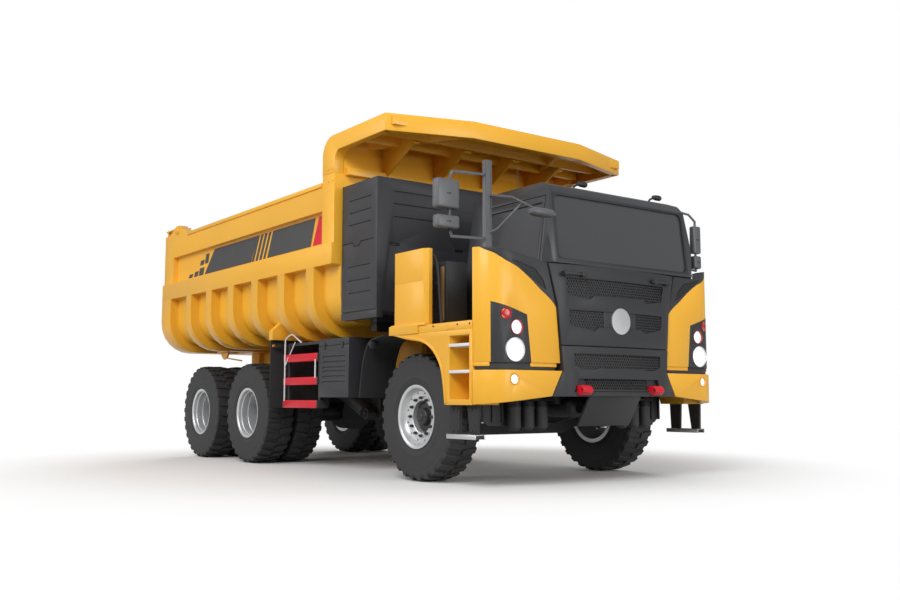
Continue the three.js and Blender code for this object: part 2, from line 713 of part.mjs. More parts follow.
// Upright panel at the edge of the deck, with a bevelled front edge.
function sideGuard(side) {
  const outer = frontHalfWidth;
  const inner = outer - guardDepth;
  const [front, rear] = guardY;
  return prism('z', flip([
    [outer, rear], [outer, front + 70], [outer - 45, front], [inner, front], [inner, rear],
  ], side), deckTop + touch, guardTopZ);
}

function hangingStep(side) {
  const top = fenderBottomZ - touch;
  const straps = [
    [[-1078, top], [-905, top], [-921, 560], [-1062, 560]],
    [[-1385, top], [-1205, top], [-1256, 560], [-1376, 560]],
  ].map((outline) => prism('x', outline, side * 1770, side * 1805));
  return join(...straps, block(side * 1720, side * 1840, -1395, -892, 535, 572));
}

place('deck_cabinet', block(...cabinetX, guardY[0] + 40, guardY[1], deckTop + touch, cabinetTopZ), charcoal);
place('deck', block(-frontHalfWidth, frontHalfWidth, deckFrontY, deckRearY, deckBottom, deckTop), yellow);
for (const [name, side] of sides) {
  place(`fender_${name}`, fender(side), yellow);
  place(`side_guard_${name}`, sideGuard(side), yellow);
  place(`hanging_step_${name}`, hangingStep(side), rubber);
}

// ---------------------------------------------------------------- front: pods, panel, bumper

const seamGap = 12;
const lidGap = 22;             // wider at the top corners, so that the lid swings clear of the pods

// Plan of a front corner: straight face, round corner, and a back edge that clears the open door.
function cornerPlan(innerX, faceY, outerX, side) {
  const radius = podCornerRadius;
  const round = arc(outerX - radius, faceY + radius, radius, -90, 0, 8).filter(([, y]) => y < podRearY);
  return [[innerX, faceY - 10], ...round, [outerX - 20, podRearY], [outerX - 90, podRearY], [side * cabMiddleX + cabHalfWidth + 20, cabChestY],
    [innerX, cabChestY]];
}

// Half of the centre panel's width at a height, from its seams.
const panelSeam = [[1020, cabWaistZ - 12], [905, 1990], [862, 1545]];
const bumperSeam = [[860, 1533], [836, bumperTopZ + 8], [990, 985]];

function headlampPod(side) {
  const plan = prism('z', flip(cornerPlan(850, podFaceY, frontHalfWidth, side), side), podBottomZ, podTopZ + 10);
  const front = prism('y', flip([
    [panelSeam[0][0] + lidGap, panelSeam[0][1]], [panelSeam[1][0] + seamGap, panelSeam[1][1]],
    [862, podBottomZ + 1], [1900, podBottomZ + 1], [1900, podTopZ], [1750, podTopZ],
  ], side), fasciaY - 50, podRearY + 50);
  const lampRecess = prism('y', flip([
    [1750, 1340], [1750, 1986], [1328, 1857], [1273, 1340],
  ], side), fasciaY - 50, podFaceY + 25);
  return cut(plan.intersect(front), lampRecess, cabForm(-seamGap));
}

function cornerBumper(side) {
  const plan = prism('z', flip(cornerPlan(850, podFaceY - 20, frontHalfWidth + 5, side), side), 890, bumperTopZ);
  const front = prism('y', flip([
    [bumperSeam[1][0] + seamGap, bumperTopZ], [bumperSeam[2][0] + seamGap, 987], [1900, 897],
    [1900, bumperTopZ],
  ], side), fasciaY - 50, podRearY + 50);
  return plan.intersect(front);
}

// The bowed front face as a slab of one thickness, for the outlines of the panel and the bumper.
function bowedSlab(thickness, z0, z1) {
  const stations = Array.from({ length: 13 }, (_, i) => -1.2 + 0.2 * i);
  const face = stations.map((t) => [t * fasciaEdgeX, fasciaY + fasciaBow * t * t]);
  const back = face.map(([x, y]) => [x, y + thickness]).reverse();
  return prism('z', [...face, ...back], z0, z1);
}

function frontPanel() {
  const outline = prism('y', [...panelSeam, ...mirrored(panelSeam)], fasciaY - 50, cabChestY);
  return outline.intersect(bowedSlab(panelThickness, 1500, cabWaistZ));
}

function centreBumper() {
  const outline = prism('y', [...bumperSeam, ...mirrored(bumperSeam)], fasciaY - 50, fasciaY + 300);
  const face = outline.intersect(bowedSlab(bumperThickness, 900, 1600));
  const mouth = prism('y', [[-640, 1180], [640, 1180], [700, 1035], [-700, 1035]], fasciaY - 50, fasciaY + 85);
  const horns = sides.map(([, side]) => block(side * railInner, side * railOuter, fasciaY + 100,
    frameFrontY - touch, 990, 1250));
  const hooks = sides.map(([, side]) => block(side * 520, side * 610, fasciaY - 20, fasciaY + 110, 1010, 1100));
  return join(cut(face, mouth), ...horns, ...hooks);
}

function skidPlate() {
  const top = 985 - touch;
  return prism('x', [[-1650, top], [-1610, top], [-1410, 650], [-1450, 650]], -415, 415);
}

for (const [name, side] of sides) {
  place(`headlamp_pod_${name}`, headlampPod(side), yellow);
  place(`corner_bumper_${name}`, cornerBumper(side), yellow);
}
place('front_panel', frontPanel(), charcoal);
place('centre_bumper', centreBumper(), charcoal);
place('skid_plate', skidPlate(), blackPaint);

// ---------------------------------------------------------------- cab

// The cab's outer form, or with an inset the room inside it.
function cabForm(inset) {
  const low = cabHalfWidth - inset;
  const high = cabRoofHalfWidth - inset;
  const side = prism('x', [
    [cabRearY - inset, deckTop + touch + inset], [cabRearY - inset, cabRoofZ - 70 - inset],
    [cabRearY - 70 - inset, cabRoofZ - inset], [cabBrowY + 190, cabRoofZ - inset],
    [cabBrowY + 60 + inset, cabRoofZ - 50 - inset], [cabBrowY + inset, cabRoofZ - 140 - inset / 2],
    [cabNoseY + inset, cabWaistZ + inset], [cabChestY + touch + inset, cabWaistZ + inset],
    [cabChestY + touch + inset, deckTop + touch + inset],
  ], cabMiddleX - low, cabMiddleX + low);
  const front = prism('y', [
    [-low, deckTop - 50], [-low, cabWaistZ], [-high, cabRoofZ - 110], [-high + 70, cabRoofZ + 10],
    [high - 70, cabRoofZ + 10], [high, cabRoofZ - 110], [low, cabWaistZ], [low, deckTop - 50],
  ].map(([x, z]) => [x + cabMiddleX, z]), cabNoseY - 100, cabRearY + 100);
  const corner = cabHalfWidth - cabCornerRadius;
  const plan = prism('z', [
    [-low, cabRearY + 50],
    ...arc(-corner, cabNoseY + cabCornerRadius, cabCornerRadius - inset, 180, 270, 4),
    ...arc(corner, cabNoseY + cabCornerRadius, cabCornerRadius - inset, -90, 0, 4),
    [low, cabRearY + 50],
  ].map(([x, y]) => [x + cabMiddleX, y]), deckTop - 50, cabRoofZ + 100);
  return side.intersect(front).intersect(plan);
}

const cabSkin = cut(cabForm(0), cabForm(cabWall));
const windscreenHalf = 1085;
const windscreenZ = [2500, 3255];
const sideGlassZ = [2520, 3150];
const doorRearY = doorFrontY + doorWidth;

function windscreenSlab(gap, thickness) {
  const [z0, z1] = [windscreenZ[0] - gap, windscreenZ[1] + gap];
  const lean = (cabBrowY - cabNoseY) / (cabRoofZ - 140 - cabWaistZ);
  const faceAt = (z) => cabNoseY + (z - cabWaistZ) * lean;
  return prism('x', [
    [faceAt(z0) + 20, z0], [faceAt(z1) + 20, z1], [faceAt(z1) + 20 + thickness, z1],
    [faceAt(z0) + 20 + thickness, z0],
  ], cabMiddleX - windscreenHalf - gap, cabMiddleX + windscreenHalf + gap);
}

function windscreenHole() {
  return block(cabMiddleX - windscreenHalf - touch, cabMiddleX + windscreenHalf + touch, cabNoseY - 50,
    cabNoseY + 250, windscreenZ[0] - touch, windscreenZ[1] + touch);
}

// A block that reaches from just inside the cab's side wall to outside it.
function throughSide(side, y0, y1, z0, z1, inside = 0) {
  const reach = [cabRoofHalfWidth - cabWall - 5 + inside, cabHalfWidth + 100];
  return block(cabMiddleX + side * reach[0], cabMiddleX + side * reach[1], y0, y1, z0, z1);
}

// A pane inside the side wall, following its lean.
function sidePane(side) {
  const pane = cut(cabForm(20), cabForm(20 + glassThickness));
  return pane.intersect(throughSide(side, doorFrontY + doorFrame, doorRearY - doorFrame, sideGlassZ[0], sideGlassZ[1]));
}

function cabShell() {
  const holes = [windscreenHole()];
  for (const [, side] of sides) {
    holes.push(throughSide(side, doorFrontY, doorRearY, doorBottomZ, doorTopZ));
  }
  return cut(cabSkin, ...holes);
}

function cabDoor(side) {
  const gap = swing - 2;
  const slab = cabSkin.intersect(throughSide(side, doorFrontY + gap, doorRearY - gap, doorBottomZ + gap,
    doorTopZ - gap, gap));
  return cut(slab, throughSide(side, doorFrontY + doorFrame - touch, doorRearY - doorFrame + touch, sideGlassZ[0] - touch,
    sideGlassZ[1] + touch));
}

function driverSeat() {
  const x = cabMiddleX + 520;
  const floor = deckTop + touch + cabWall + touch;
  return join(
    block(x - 200, x + 200, -880, -480, floor, 2080),
    block(x - 260, x + 260, -980, -440, 2070, 2200),
    prism('x', [[-520, 2150], [-330, 2900], [-450, 2900], [-640, 2190]], x - 250, x + 250),
  );
}

function dashboard() {
  const front = cabChestY + touch + cabWall + touch;
  const x = cabMiddleX + 520;
  const desk = prism('x', [[front, 2150], [front, 2440], [-1330, 2440], [-1230, 2330], [-1230, 2150]],
    cabMiddleX - cabHalfWidth + cabWall + 60, cabMiddleX + cabHalfWidth - cabWall - 60);
  const ring = new THREE.TorusGeometry(210, 18, 8, 20);
  ring.rotateX(THREE.MathUtils.degToRad(-35));
  ring.translate(x, -1060, 2500);
  const spoke = bar([x - 200, -1060, 2500], [x + 200, -1060, 2500], 16, 8);
  return join(desk, bar([x, -1300, 2350], [x, -1060, 2500], 35, 10), toSolid(ring), spoke);
}

place('cab_shell', cabShell(), charcoal);
place('windscreen', windscreenSlab(0, glassThickness), darkGlass);
for (const [name, side] of sides) {
  place(`cab_door_${name}`, cabDoor(side), charcoal);
  place(`door_glass_${name}`, sidePane(side), darkGlass);
}
place('driver_seat', driverSeat(), seatFabric);
place('dashboard', dashboard(), blackPaint);

// ---------------------------------------------------------------- mirrors

function mirrorMast() {
  const y = deckFrontY + 40;
  const top = 3560;
  const headY = [y - 40, y + 40];
  const headX = 2130;          // middle of the hanger that carries both mirrors
  return join(
    block(mastX - 42, mastX + 42, y - 30, y + 30, deckTop + touch, top),
    bentBar([[mastX, y, 3400], [-headX + 30, y, 3370], [-headX, y, 3262]], 17),
    block(-mirrorReach, -mirrorReach + 290, ...headY, 2965, 3270),
    bar([-headX, y, 2980], [-headX, y, 2870], 17, 8),
    block(-mirrorReach + 8, -mirrorReach + 288, ...headY, 2755, 2880),
    bentBar([[-headX, y, 2770], [-headX + 30, y, 2670], [mastX, y, 2690]], 17),
    bentBar([[mastX, y, 3180], [-1480, y - 250, 3130], [-1340, -1850, 2960]], 13),
    bentBar([[mastX, y, 2750], [-1560, y - 100, 2790], [-1400, y - 350, 3070]], 13),
    block(-1490, -1140, -frontReach, -1810, 2885, 2980),
  );
}

function leftMirror() {
  const y = -1540;
  const x = 1590;
  return join(
    bentBar([[cabMiddleX + 1080, -1545, 3290], [1450, y - 20, 3270], [x, y, 3200], [x, y, 3120]], 15),
    block(x - 60, x + 60, y - 30, y + 30, 2790, 3130),
    bar([x, y, 2800], [x, y, 2740], 15, 8),
    block(x - 55, x + 60, y - 30, y + 30, 2600, 2750),
    bentBar([[x, y, 2610], [x, y, 2570], [cabMiddleX + 1200, -1580, 2570]], 15),
  );
}

place('mirror_mast', mirrorMast(), charcoal);
place('mirror_left', cut(leftMirror(), cabForm(-touch)), charcoal);

export default truck;
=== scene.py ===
import json
import math
import bpy
from mathutils import Matrix, Vector

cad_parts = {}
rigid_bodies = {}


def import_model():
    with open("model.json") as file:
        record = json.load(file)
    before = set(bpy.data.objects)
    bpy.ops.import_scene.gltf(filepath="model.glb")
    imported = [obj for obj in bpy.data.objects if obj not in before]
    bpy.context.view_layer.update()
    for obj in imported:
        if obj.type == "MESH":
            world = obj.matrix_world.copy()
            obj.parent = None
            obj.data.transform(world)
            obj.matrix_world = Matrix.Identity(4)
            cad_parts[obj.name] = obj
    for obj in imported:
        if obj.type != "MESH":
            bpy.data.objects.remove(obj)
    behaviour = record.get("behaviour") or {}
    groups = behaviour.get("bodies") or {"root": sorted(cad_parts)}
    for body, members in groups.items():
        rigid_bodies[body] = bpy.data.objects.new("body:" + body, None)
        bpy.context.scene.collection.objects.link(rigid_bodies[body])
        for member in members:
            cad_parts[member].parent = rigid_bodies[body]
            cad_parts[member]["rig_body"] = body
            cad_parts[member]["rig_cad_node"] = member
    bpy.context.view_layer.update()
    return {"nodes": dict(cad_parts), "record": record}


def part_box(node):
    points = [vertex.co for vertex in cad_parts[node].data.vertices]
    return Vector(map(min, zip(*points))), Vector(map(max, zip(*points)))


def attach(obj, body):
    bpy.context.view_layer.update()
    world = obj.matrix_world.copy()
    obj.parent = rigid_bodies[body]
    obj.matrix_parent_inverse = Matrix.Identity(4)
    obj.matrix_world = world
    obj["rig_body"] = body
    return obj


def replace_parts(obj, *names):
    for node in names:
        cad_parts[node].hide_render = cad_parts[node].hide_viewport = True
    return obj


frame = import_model()
nodeBodies = {node: body for body, nodes in frame["record"]["behaviour"]["bodies"].items() for node in nodes}
sides = (("right", -1), ("left", 1))

# The truck is drawn from its own middle: the front axle is y = 0, the chassis middle is x = 0.
axleMiddle = (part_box("front_tyre_right")[0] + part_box("front_tyre_left")[1]) / 2
truckOrigin = Vector((axleMiddle.x, axleMiddle.y, 0))
print("frame loaded")


# Working helpers.

def deselectAll():
    if bpy.context.object and bpy.context.object.mode != "OBJECT":
        bpy.ops.object.mode_set(mode="OBJECT")
    bpy.ops.object.select_all(action="DESELECT")


def makeActive(piece):
    deselectAll()
    piece.select_set(True)
    bpy.context.view_layer.objects.active = piece


def inPlane(axis, a, b, along):
    return {"x": (along, a, b), "y": (a, along, b), "z": (a, b, along)}[axis]


def extrudeBy(move):
    bpy.ops.mesh.extrude_region_move(TRANSFORM_OT_translate={"value": move})


def drawPath(points):
    # one vertex drawn on from point to point, left selected in edit mode
    deselectAll()
    bpy.ops.mesh.primitive_plane_add(size=0.01, location=(0, 0, 0))
    bpy.ops.object.mode_set(mode="EDIT")
    bpy.ops.mesh.select_all(action="SELECT")
    bpy.ops.mesh.merge(type="CENTER")
    bpy.ops.transform.translate(value=points[0])
    for here, there in zip(points, points[1:]):
        extrudeBy(Vector(there) - Vector(here))
    bpy.ops.mesh.select_all(action="SELECT")
    return bpy.context.object


def closeShell(threshold=0):
    # the shape in edit mode is merged, its faces turned outwards, and edit mode left
    bpy.ops.mesh.select_all(action="SELECT")
    if threshold:
        bpy.ops.mesh.remove_doubles(threshold=threshold)
    bpy.ops.mesh.normals_make_consistent(inside=False)
    bpy.ops.object.mode_set(mode="OBJECT")
    return bpy.context.object


def slab(axis, outline, low, high):
    # outline is (y, z) along x, (x, z) along y, or (x, y) along z
    points = [inPlane(axis, a, b, low) for a, b in outline]
    drawPath(points + [points[0]])
    bpy.ops.mesh.remove_doubles(threshold=0.00005)
    bpy.ops.mesh.edge_face_add()
    extrudeBy(inPlane(axis, 0, 0, high - low))
    return closeShell()


def turned(profile, centre, steps, axis="x", side=1):
    # profile is (along, radius) round the axis
    points = []
    for along, radius in profile:
        move = {"x": (side * along, 0, radius), "y": (0, side * along, radius), "z": (radius, 0, side * along)}[axis]
        points.append(Vector(centre) + Vector(move))
    drawPath(points)
    bpy.ops.mesh.spin(steps=steps, angle=2 * math.pi, center=centre, axis=inPlane(axis, 0, 0, 1))
    return closeShell(0.0002)


def block(x, y, z):
    deselectAll()
    bpy.ops.mesh.primitive_cube_add(size=1, location=[(a + b) / 2 for a, b in (x, y, z)])
    piece = bpy.context.object
    piece.scale = [abs(b - a) for a, b in (x, y, z)]
    bpy.ops.object.transform_apply(location=True, rotation=True, scale=True)
    return piece


def about(middle, reach):
    return middle - reach, middle + reach


def both(side, pair):
    return side * pair[0], side * pair[1]


def rounded(points, radius, steps=5):
    # a path of straight runs with its corners rounded off
    path = [Vector(points[0])]
    for before, corner, after in zip(points, points[1:], points[2:]):
        corner = Vector(corner)
        into = Vector(before) - corner
        out = Vector(after) - corner
        start = corner + into.normalized() * min(radius, into.length * 0.45)
        end = corner + out.normalized() * min(radius, out.length * 0.45)
        for i in range(steps + 1):
            t = i / steps
            path.append(start * (1 - t) ** 2 + corner * 2 * t * (1 - t) + end * t ** 2)
    return path + [Vector(points[-1])]


def tube(points, radius, bend=0.06, sidesRound=10):
    path = rounded(points, bend)
    line = bpy.data.curves.new("tube", "CURVE")
    line.dimensions = "3D"
    spline = line.splines.new("POLY")
    spline.points.add(len(path) - 1)
    for point, place in zip(spline.points, path):
        point.co = (*place, 1)
    line.bevel_depth = radius
    line.bevel_resolution = max(1, sidesRound // 4)
    line.use_fill_caps = True
    piece = bpy.data.objects.new("tube", line)
    bpy.context.scene.collection.objects.link(piece)
    makeActive(piece)
    bpy.ops.object.convert(target="MESH")
    bpy.ops.object.mode_set(mode="EDIT")
    return closeShell(0.00005)


def curve(points, steps=5):
    # a smooth line through the points
    path = []
    for i in range(len(points) - 1):
        a, b = points[max(i - 1, 0)], points[i]
        c, d = points[i + 1], points[min(i + 2, len(points) - 1)]
        for k in range(steps):
            t = k / steps
            path.append(tuple(0.5 * (2 * q + (r - p) * t + (2 * p - 5 * q + 4 * r - s) * t * t
                                     + (3 * q - p - 3 * r + s) * t ** 3) for p, q, r, s in zip(a, b, c, d)))
    path.append(tuple(points[-1]))
    return path


def heightAt(line, x):
    x = abs(x)
    for (x0, z0), (x1, z1) in zip(line, line[1:]):
        if x0 <= x <= x1:
            return z0 + (z1 - z0) * (x - x0) / (x1 - x0)
    return line[0][1] if x < line[0][0] else line[-1][1]


def spread(low, high, count):
    return [low + (high - low) * i / (count - 1) for i in range(count)]


def arcPoints(a, b, radius, fromDeg, toDeg, steps):
    turn = [math.radians(fromDeg + (toDeg - fromDeg) * i / steps) for i in range(steps + 1)]
    return [(a + radius * math.cos(t), b + radius * math.sin(t)) for t in turn]


def bowedPlate(stations, top, bottom, face, thickness):
    # a plate that follows a bowed face: top and bottom are (x, z) lines, face gives y at x
    piece = drawPath([(x, face(x), heightAt(top, x)) for x in stations])
    extrudeBy((0, 0, -9))
    bpy.ops.object.mode_set(mode="OBJECT")
    for vertex in piece.data.vertices:
        if vertex.co.z < 0:
            vertex.co.z = heightAt(bottom, vertex.co.x)
    bpy.ops.object.mode_set(mode="EDIT")
    bpy.ops.mesh.select_all(action="SELECT")
    extrudeBy((0, thickness, 0))
    return closeShell(0.0001)


def bevelled(piece, width, segments=2):
    makeActive(piece)
    edge = piece.modifiers.new("edges", "BEVEL")
    edge.width = width
    edge.segments = segments
    edge.limit_method = "ANGLE"
    edge.angle_limit = math.radians(35)
    edge.use_clamp_overlap = True
    bpy.ops.object.modifier_apply(modifier=edge.name)
    return piece


def hexHead(place, axis, side, size=0.016, height=0.012, edge=0.002):
    turn = {"x": (0, side * math.pi / 2, 0), "y": (math.pi / 2, 0, 0)}[axis]
    deselectAll()
    bpy.ops.mesh.primitive_cylinder_add(vertices=6, radius=size, depth=height, location=place, rotation=turn)
    bpy.ops.object.transform_apply(location=True, rotation=True, scale=True)
    return bevelled(bpy.context.object, edge, 1)


def joined(pieces):
    if len(pieces) == 1:
        return pieces[0]
    makeActive(pieces[0])
    for piece in pieces:
        piece.select_set(True)
    bpy.ops.object.join()
    return bpy.context.object


def copied(piece, matrix):
    twin = piece.copy()
    twin.data = piece.data.copy()
    twin.data.transform(matrix)
    bpy.context.scene.collection.objects.link(twin)
    return twin


def repeated(piece, matrices):
    copies = [copied(piece, matrix) for matrix in matrices]
    bpy.data.objects.remove(piece)
    return joined(copies)


def moved(x, y, z):
    return Matrix.Translation((x, y, z))


def turnedAbout(centre, angle):
    return Matrix.Translation(centre) @ Matrix.Rotation(angle, 4, "X") @ Matrix.Translation(-Vector(centre))


def cutBy(piece, cutter):
    makeActive(piece)
    cutting = piece.modifiers.new("cut", "BOOLEAN")
    cutting.operation = "DIFFERENCE"
    cutting.solver = "EXACT"
    cutting.object = cutter
    bpy.ops.object.modifier_apply(modifier=cutting.name)
    bpy.data.objects.remove(cutter)
    return piece


def honeycomb(low, high, top, bottom, face, cell, depth):
    # open six-sided cells side by side, set along a bowed face
    reach = cell / math.sqrt(3)
    inner, outer = reach * 0.82, reach * 0.99
    ring = turned([(0, inner), (0, outer), (depth, outer), (depth, inner), (0, inner)], (0, 0, 0), 6, "y")
    places = []
    heights = [z for x, z in top + bottom]
    row, z = 0, min(heights)
    while z < max(heights) + reach:
        x = low + (row % 2) * cell / 2
        while x < high:
            if heightAt(bottom, x) - reach * 0.4 < z < heightAt(top, x) + reach * 0.4:
                places.append(moved(x, face(x), z))
            x += cell
        row += 1
        z += reach * 1.5
    return repeated(ring, places)


def finished(name, parts, look, body="chassis", edge=0, smooth=32):
    # the parts become one named piece in its finish, riding its body
    piece = joined(parts) if isinstance(parts, list) else parts
    piece.name = name
    if edge:
        bevelled(piece, edge)
    makeActive(piece)
    bpy.ops.object.shade_smooth_by_angle(angle=math.radians(smooth))
    piece.data.transform(Matrix.Translation(truckOrigin))
    piece.data.materials.clear()
    piece.data.materials.append(paints[look])
    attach(piece, body)
    return piece


def copyOfNode(node):
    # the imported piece's own form, merged, in truck coordinates
    source = frame["nodes"][node]
    piece = source.copy()
    piece.data = source.data.copy()
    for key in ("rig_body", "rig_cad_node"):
        if key in piece:
            del piece[key]
    piece.parent = None
    bpy.context.scene.collection.objects.link(piece)
    piece.name = node + "_finished"
    makeActive(piece)
    bpy.ops.object.mode_set(mode="EDIT")
    bpy.ops.mesh.select_all(action="SELECT")
    bpy.ops.mesh.remove_doubles(threshold=0.0002)
    bpy.ops.mesh.dissolve_limited(angle_limit=math.radians(0.5))
    bpy.ops.object.mode_set(mode="OBJECT")
    piece.data.transform(Matrix.Translation(-truckOrigin))
    return piece


def refined(node, look, edge, piece=None, segments=2):
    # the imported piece's form with its edges rounded stands in for it
    piece = bevelled(piece or copyOfNode(node), edge, segments)
    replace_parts(piece, node)
    return finished(piece.name, piece, look, nodeBodies[node], smooth=40)


# Materials.

def fill(tree, node, values):
    # values are numbers, colours or sockets to link from
    for key, value in values.items():
        if isinstance(value, bpy.types.NodeSocket):
            tree.links.new(value, node.inputs[key])
        else:
            node.inputs[key].default_value = value
    return node


def addNode(tree, kind, values=None, **settings):
    node = tree.nodes.new("ShaderNode" + kind)
    for key, value in settings.items():
        setattr(node, key, value)
    return fill(tree, node, values or {})


weatherInputs = {
    "Paint": ("Color", (0.5, 0.5, 0.5, 1)), "Drift": ("Float", 0.05), "Drift Scale": ("Float", 0.9),
    "Grain Scale": ("Float", 260.0), "Dust": ("Color", (0.35, 0.31, 0.26, 1)), "Dust Amount": ("Float", 0.1),
    "Dust Height": ("Float", 1.6), "Roughness": ("Float", 0.5),
}


def makeWeathering():
    # slow colour drift, fine grain and a light dust that gathers low down and in patches
    tree = bpy.data.node_groups.new("weathering", "ShaderNodeTree")
    for name, (kind, value) in weatherInputs.items():
        socket = tree.interface.new_socket(name=name, in_out="INPUT", socket_type="NodeSocket" + kind)
        socket.default_value = value
    for name, kind in (("Color", "Color"), ("Roughness", "Float"), ("Height", "Float")):
        tree.interface.new_socket(name=name, in_out="OUTPUT", socket_type="NodeSocket" + kind)
    given = tree.nodes.new("NodeGroupInput").outputs
    result = tree.nodes.new("NodeGroupOutput").inputs
    place = addNode(tree, "TexCoord").outputs["Object"]
    slow = addNode(tree, "TexNoise", {"Vector": place, "Scale": given["Drift Scale"], "Detail": 4}).outputs["Fac"]
    fine = addNode(tree, "TexNoise", {"Vector": place, "Scale": given["Grain Scale"], "Detail": 2}).outputs["Fac"]
    patches = addNode(tree, "TexNoise", {"Vector": place, "Scale": 5.5, "Detail": 6}).outputs["Fac"]

    def maths(operation, first, second, clamp=False):
        return addNode(tree, "Math", {0: first, 1: second}, operation=operation, use_clamp=clamp).outputs[0]

    drift = maths("MULTIPLY", maths("SUBTRACT", slow, 0.5), given["Drift"])
    shade = addNode(tree, "HueSaturation",
                    {"Color": given["Paint"], "Value": maths("ADD", maths("MULTIPLY", drift, 2), 1)})
    height = addNode(tree, "SeparateXYZ", {0: place}).outputs["Z"]
    low = maths("SUBTRACT", 1, maths("DIVIDE", height, given["Dust Height"]), True)
    dusty = maths("MULTIPLY", maths("MULTIPLY", low, patches), given["Dust Amount"], True)
    film = addNode(tree, "Mix", {"Factor": dusty, "A": shade.outputs["Color"], "B": given["Dust"]}, data_type="RGBA")
    tree.links.new(film.outputs["Result"], result["Color"])
    rough = maths("ADD", given["Roughness"], maths("MULTIPLY", maths("SUBTRACT", patches, 0.5), 0.12))
    tree.links.new(maths("ADD", rough, maths("MULTIPLY", dusty, 0.4), True), result["Roughness"])
    tree.links.new(fine, result["Height"])
    return tree


weathering = makeWeathering()


def surface(name, look):
    material = bpy.data.materials.new(name)
    material.use_nodes = True
    tree = material.node_tree
    wear = addNode(tree, "Group", {"Paint": (*look["color"], 1), "Roughness": look["roughness"],
                                   **look.get("wear", {})}, node_tree=weathering)
    bump = addNode(tree, "Bump", {"Strength": look.get("bump", 0.1), "Distance": look.get("depth", 0.0006),
                                  "Height": wear.outputs["Height"]})
    shader = fill(tree, tree.nodes["Principled BSDF"], {
        "Base Color": wear.outputs["Color"], "Roughness": wear.outputs["Roughness"], "Normal": bump.outputs["Normal"],
        "Metallic": look.get("metallic", 0), "Coat Weight": look.get("coat", 0), "Coat Roughness": 0.15,
        "Specular IOR Level": look.get("specular", 0.5), "Emission Color": (1, 1, 1, 1),
        "Emission Strength": look.get("glow", 0)})
    if "transmission" in look:
        fill(tree, shader, {"Transmission Weight": look["transmission"], "IOR": 1.5})
    return material


looks = {
    "bodyYellow": {"color": (0.90, 0.455, 0.030), "roughness": 0.44, "coat": 0.12, "specular": 0.4, "bump": 0.06,
                   "wear": {"Drift": 0.06, "Dust Amount": 0.05}},
    "cabGrey": {"color": (0.038, 0.040, 0.045), "roughness": 0.42, "coat": 0.08, "specular": 0.4, "bump": 0.06,
                "wear": {"Drift": 0.08, "Dust Amount": 0.04}},
    "panelGrey": {"color": (0.029, 0.030, 0.033), "roughness": 0.48, "specular": 0.35, "bump": 0.08,
                  "wear": {"Drift": 0.08, "Dust Amount": 0.04}},
    "gridGrey": {"color": (0.048, 0.049, 0.052), "roughness": 0.5, "bump": 0.05},
    "stripeDark": {"color": (0.045, 0.045, 0.048), "roughness": 0.5, "bump": 0.04, "wear": {"Drift": 0.05}},
    "cabinetBrown": {"color": (0.34, 0.22, 0.08), "roughness": 0.55, "bump": 0.06},
    "mirrorGrey": {"color": (0.100, 0.103, 0.110), "roughness": 0.45, "coat": 0.1, "bump": 0.05,
                   "wear": {"Drift": 0.05}},
    "badgeSilver": {"color": (0.62, 0.63, 0.64), "roughness": 0.3, "metallic": 0.7, "bump": 0.04},
    "boxGrey": {"color": (0.033, 0.034, 0.038), "roughness": 0.48, "specular": 0.35, "bump": 0.08,
                "wear": {"Drift": 0.08, "Dust Amount": 0.04}},
    "chassisBlack": {"color": (0.014, 0.014, 0.016), "roughness": 0.55, "bump": 0.15,
                     "wear": {"Drift": 0.12, "Dust Amount": 0.06, "Grain Scale": 90.0}},
    "signalRed": {"color": (0.66, 0.006, 0.022), "roughness": 0.42, "specular": 0.3, "coat": 0.1, "bump": 0.06,
                  "wear": {"Drift": 0.05}},
    "tyreRubber": {"color": (0.021, 0.022, 0.024), "roughness": 0.68, "bump": 0.35, "depth": 0.001,
                   "wear": {"Drift": 0.15, "Drift Scale": 3.0, "Grain Scale": 420.0, "Dust Amount": 0.07}},
    "flapRubber": {"color": (0.016, 0.016, 0.017), "roughness": 0.78, "bump": 0.3, "depth": 0.001,
                   "wear": {"Drift": 0.15, "Drift Scale": 3.0, "Dust Amount": 0.08}},
    "wheelSilver": {"color": (0.60, 0.61, 0.62), "roughness": 0.34, "metallic": 0.55, "bump": 0.08,
                    "wear": {"Drift": 0.06, "Dust Amount": 0.05}},
    "brightSteel": {"color": (0.74, 0.74, 0.76), "roughness": 0.16, "metallic": 1.0, "bump": 0.03},
    "nutBlack": {"color": (0.014, 0.014, 0.015), "roughness": 0.45, "bump": 0.1},
    "whitePaint": {"color": (0.78, 0.79, 0.80), "roughness": 0.4, "bump": 0.06, "wear": {"Dust Amount": 0.1}},
    "treadAluminium": {"color": (0.55, 0.56, 0.57), "roughness": 0.38, "metallic": 0.8, "bump": 0.2,
                       "wear": {"Dust Amount": 0.2}},
    "moulding": {"color": (0.022, 0.022, 0.024), "roughness": 0.6, "bump": 0.3, "depth": 0.0008,
                 "wear": {"Grain Scale": 500.0, "Dust Amount": 0.08}},
    "lampRed": {"color": (0.50, 0.004, 0.008), "roughness": 0.25, "coat": 0.2, "bump": 0.02},
    # the white lens glows: painted light that lifts the lens to white against its own shading
    "lampWhitePaintedBright": {"color": (0.90, 0.90, 0.90), "roughness": 0.14, "coat": 0.6, "bump": 0.02, "glow": 0.55},
    "lampAmber": {"color": (0.85, 0.33, 0.02), "roughness": 0.2, "coat": 0.6, "bump": 0.02},
    "seatCloth": {"color": (0.030, 0.030, 0.034), "roughness": 0.9, "bump": 0.5, "depth": 0.001,
                  "wear": {"Grain Scale": 700.0}},
    "mirrorGlass": {"color": (0.55, 0.57, 0.60), "roughness": 0.05, "metallic": 1.0, "bump": 0.0},
    "darkGlass": {"color": (0.060, 0.062, 0.068), "roughness": 0.10, "coat": 0.3, "specular": 0.6, "bump": 0.0,
                  "transmission": 0.15, "wear": {"Drift": 0.04, "Dust Amount": 0.0}},
}
paints = {name: surface(name, look) for name, look in looks.items()}
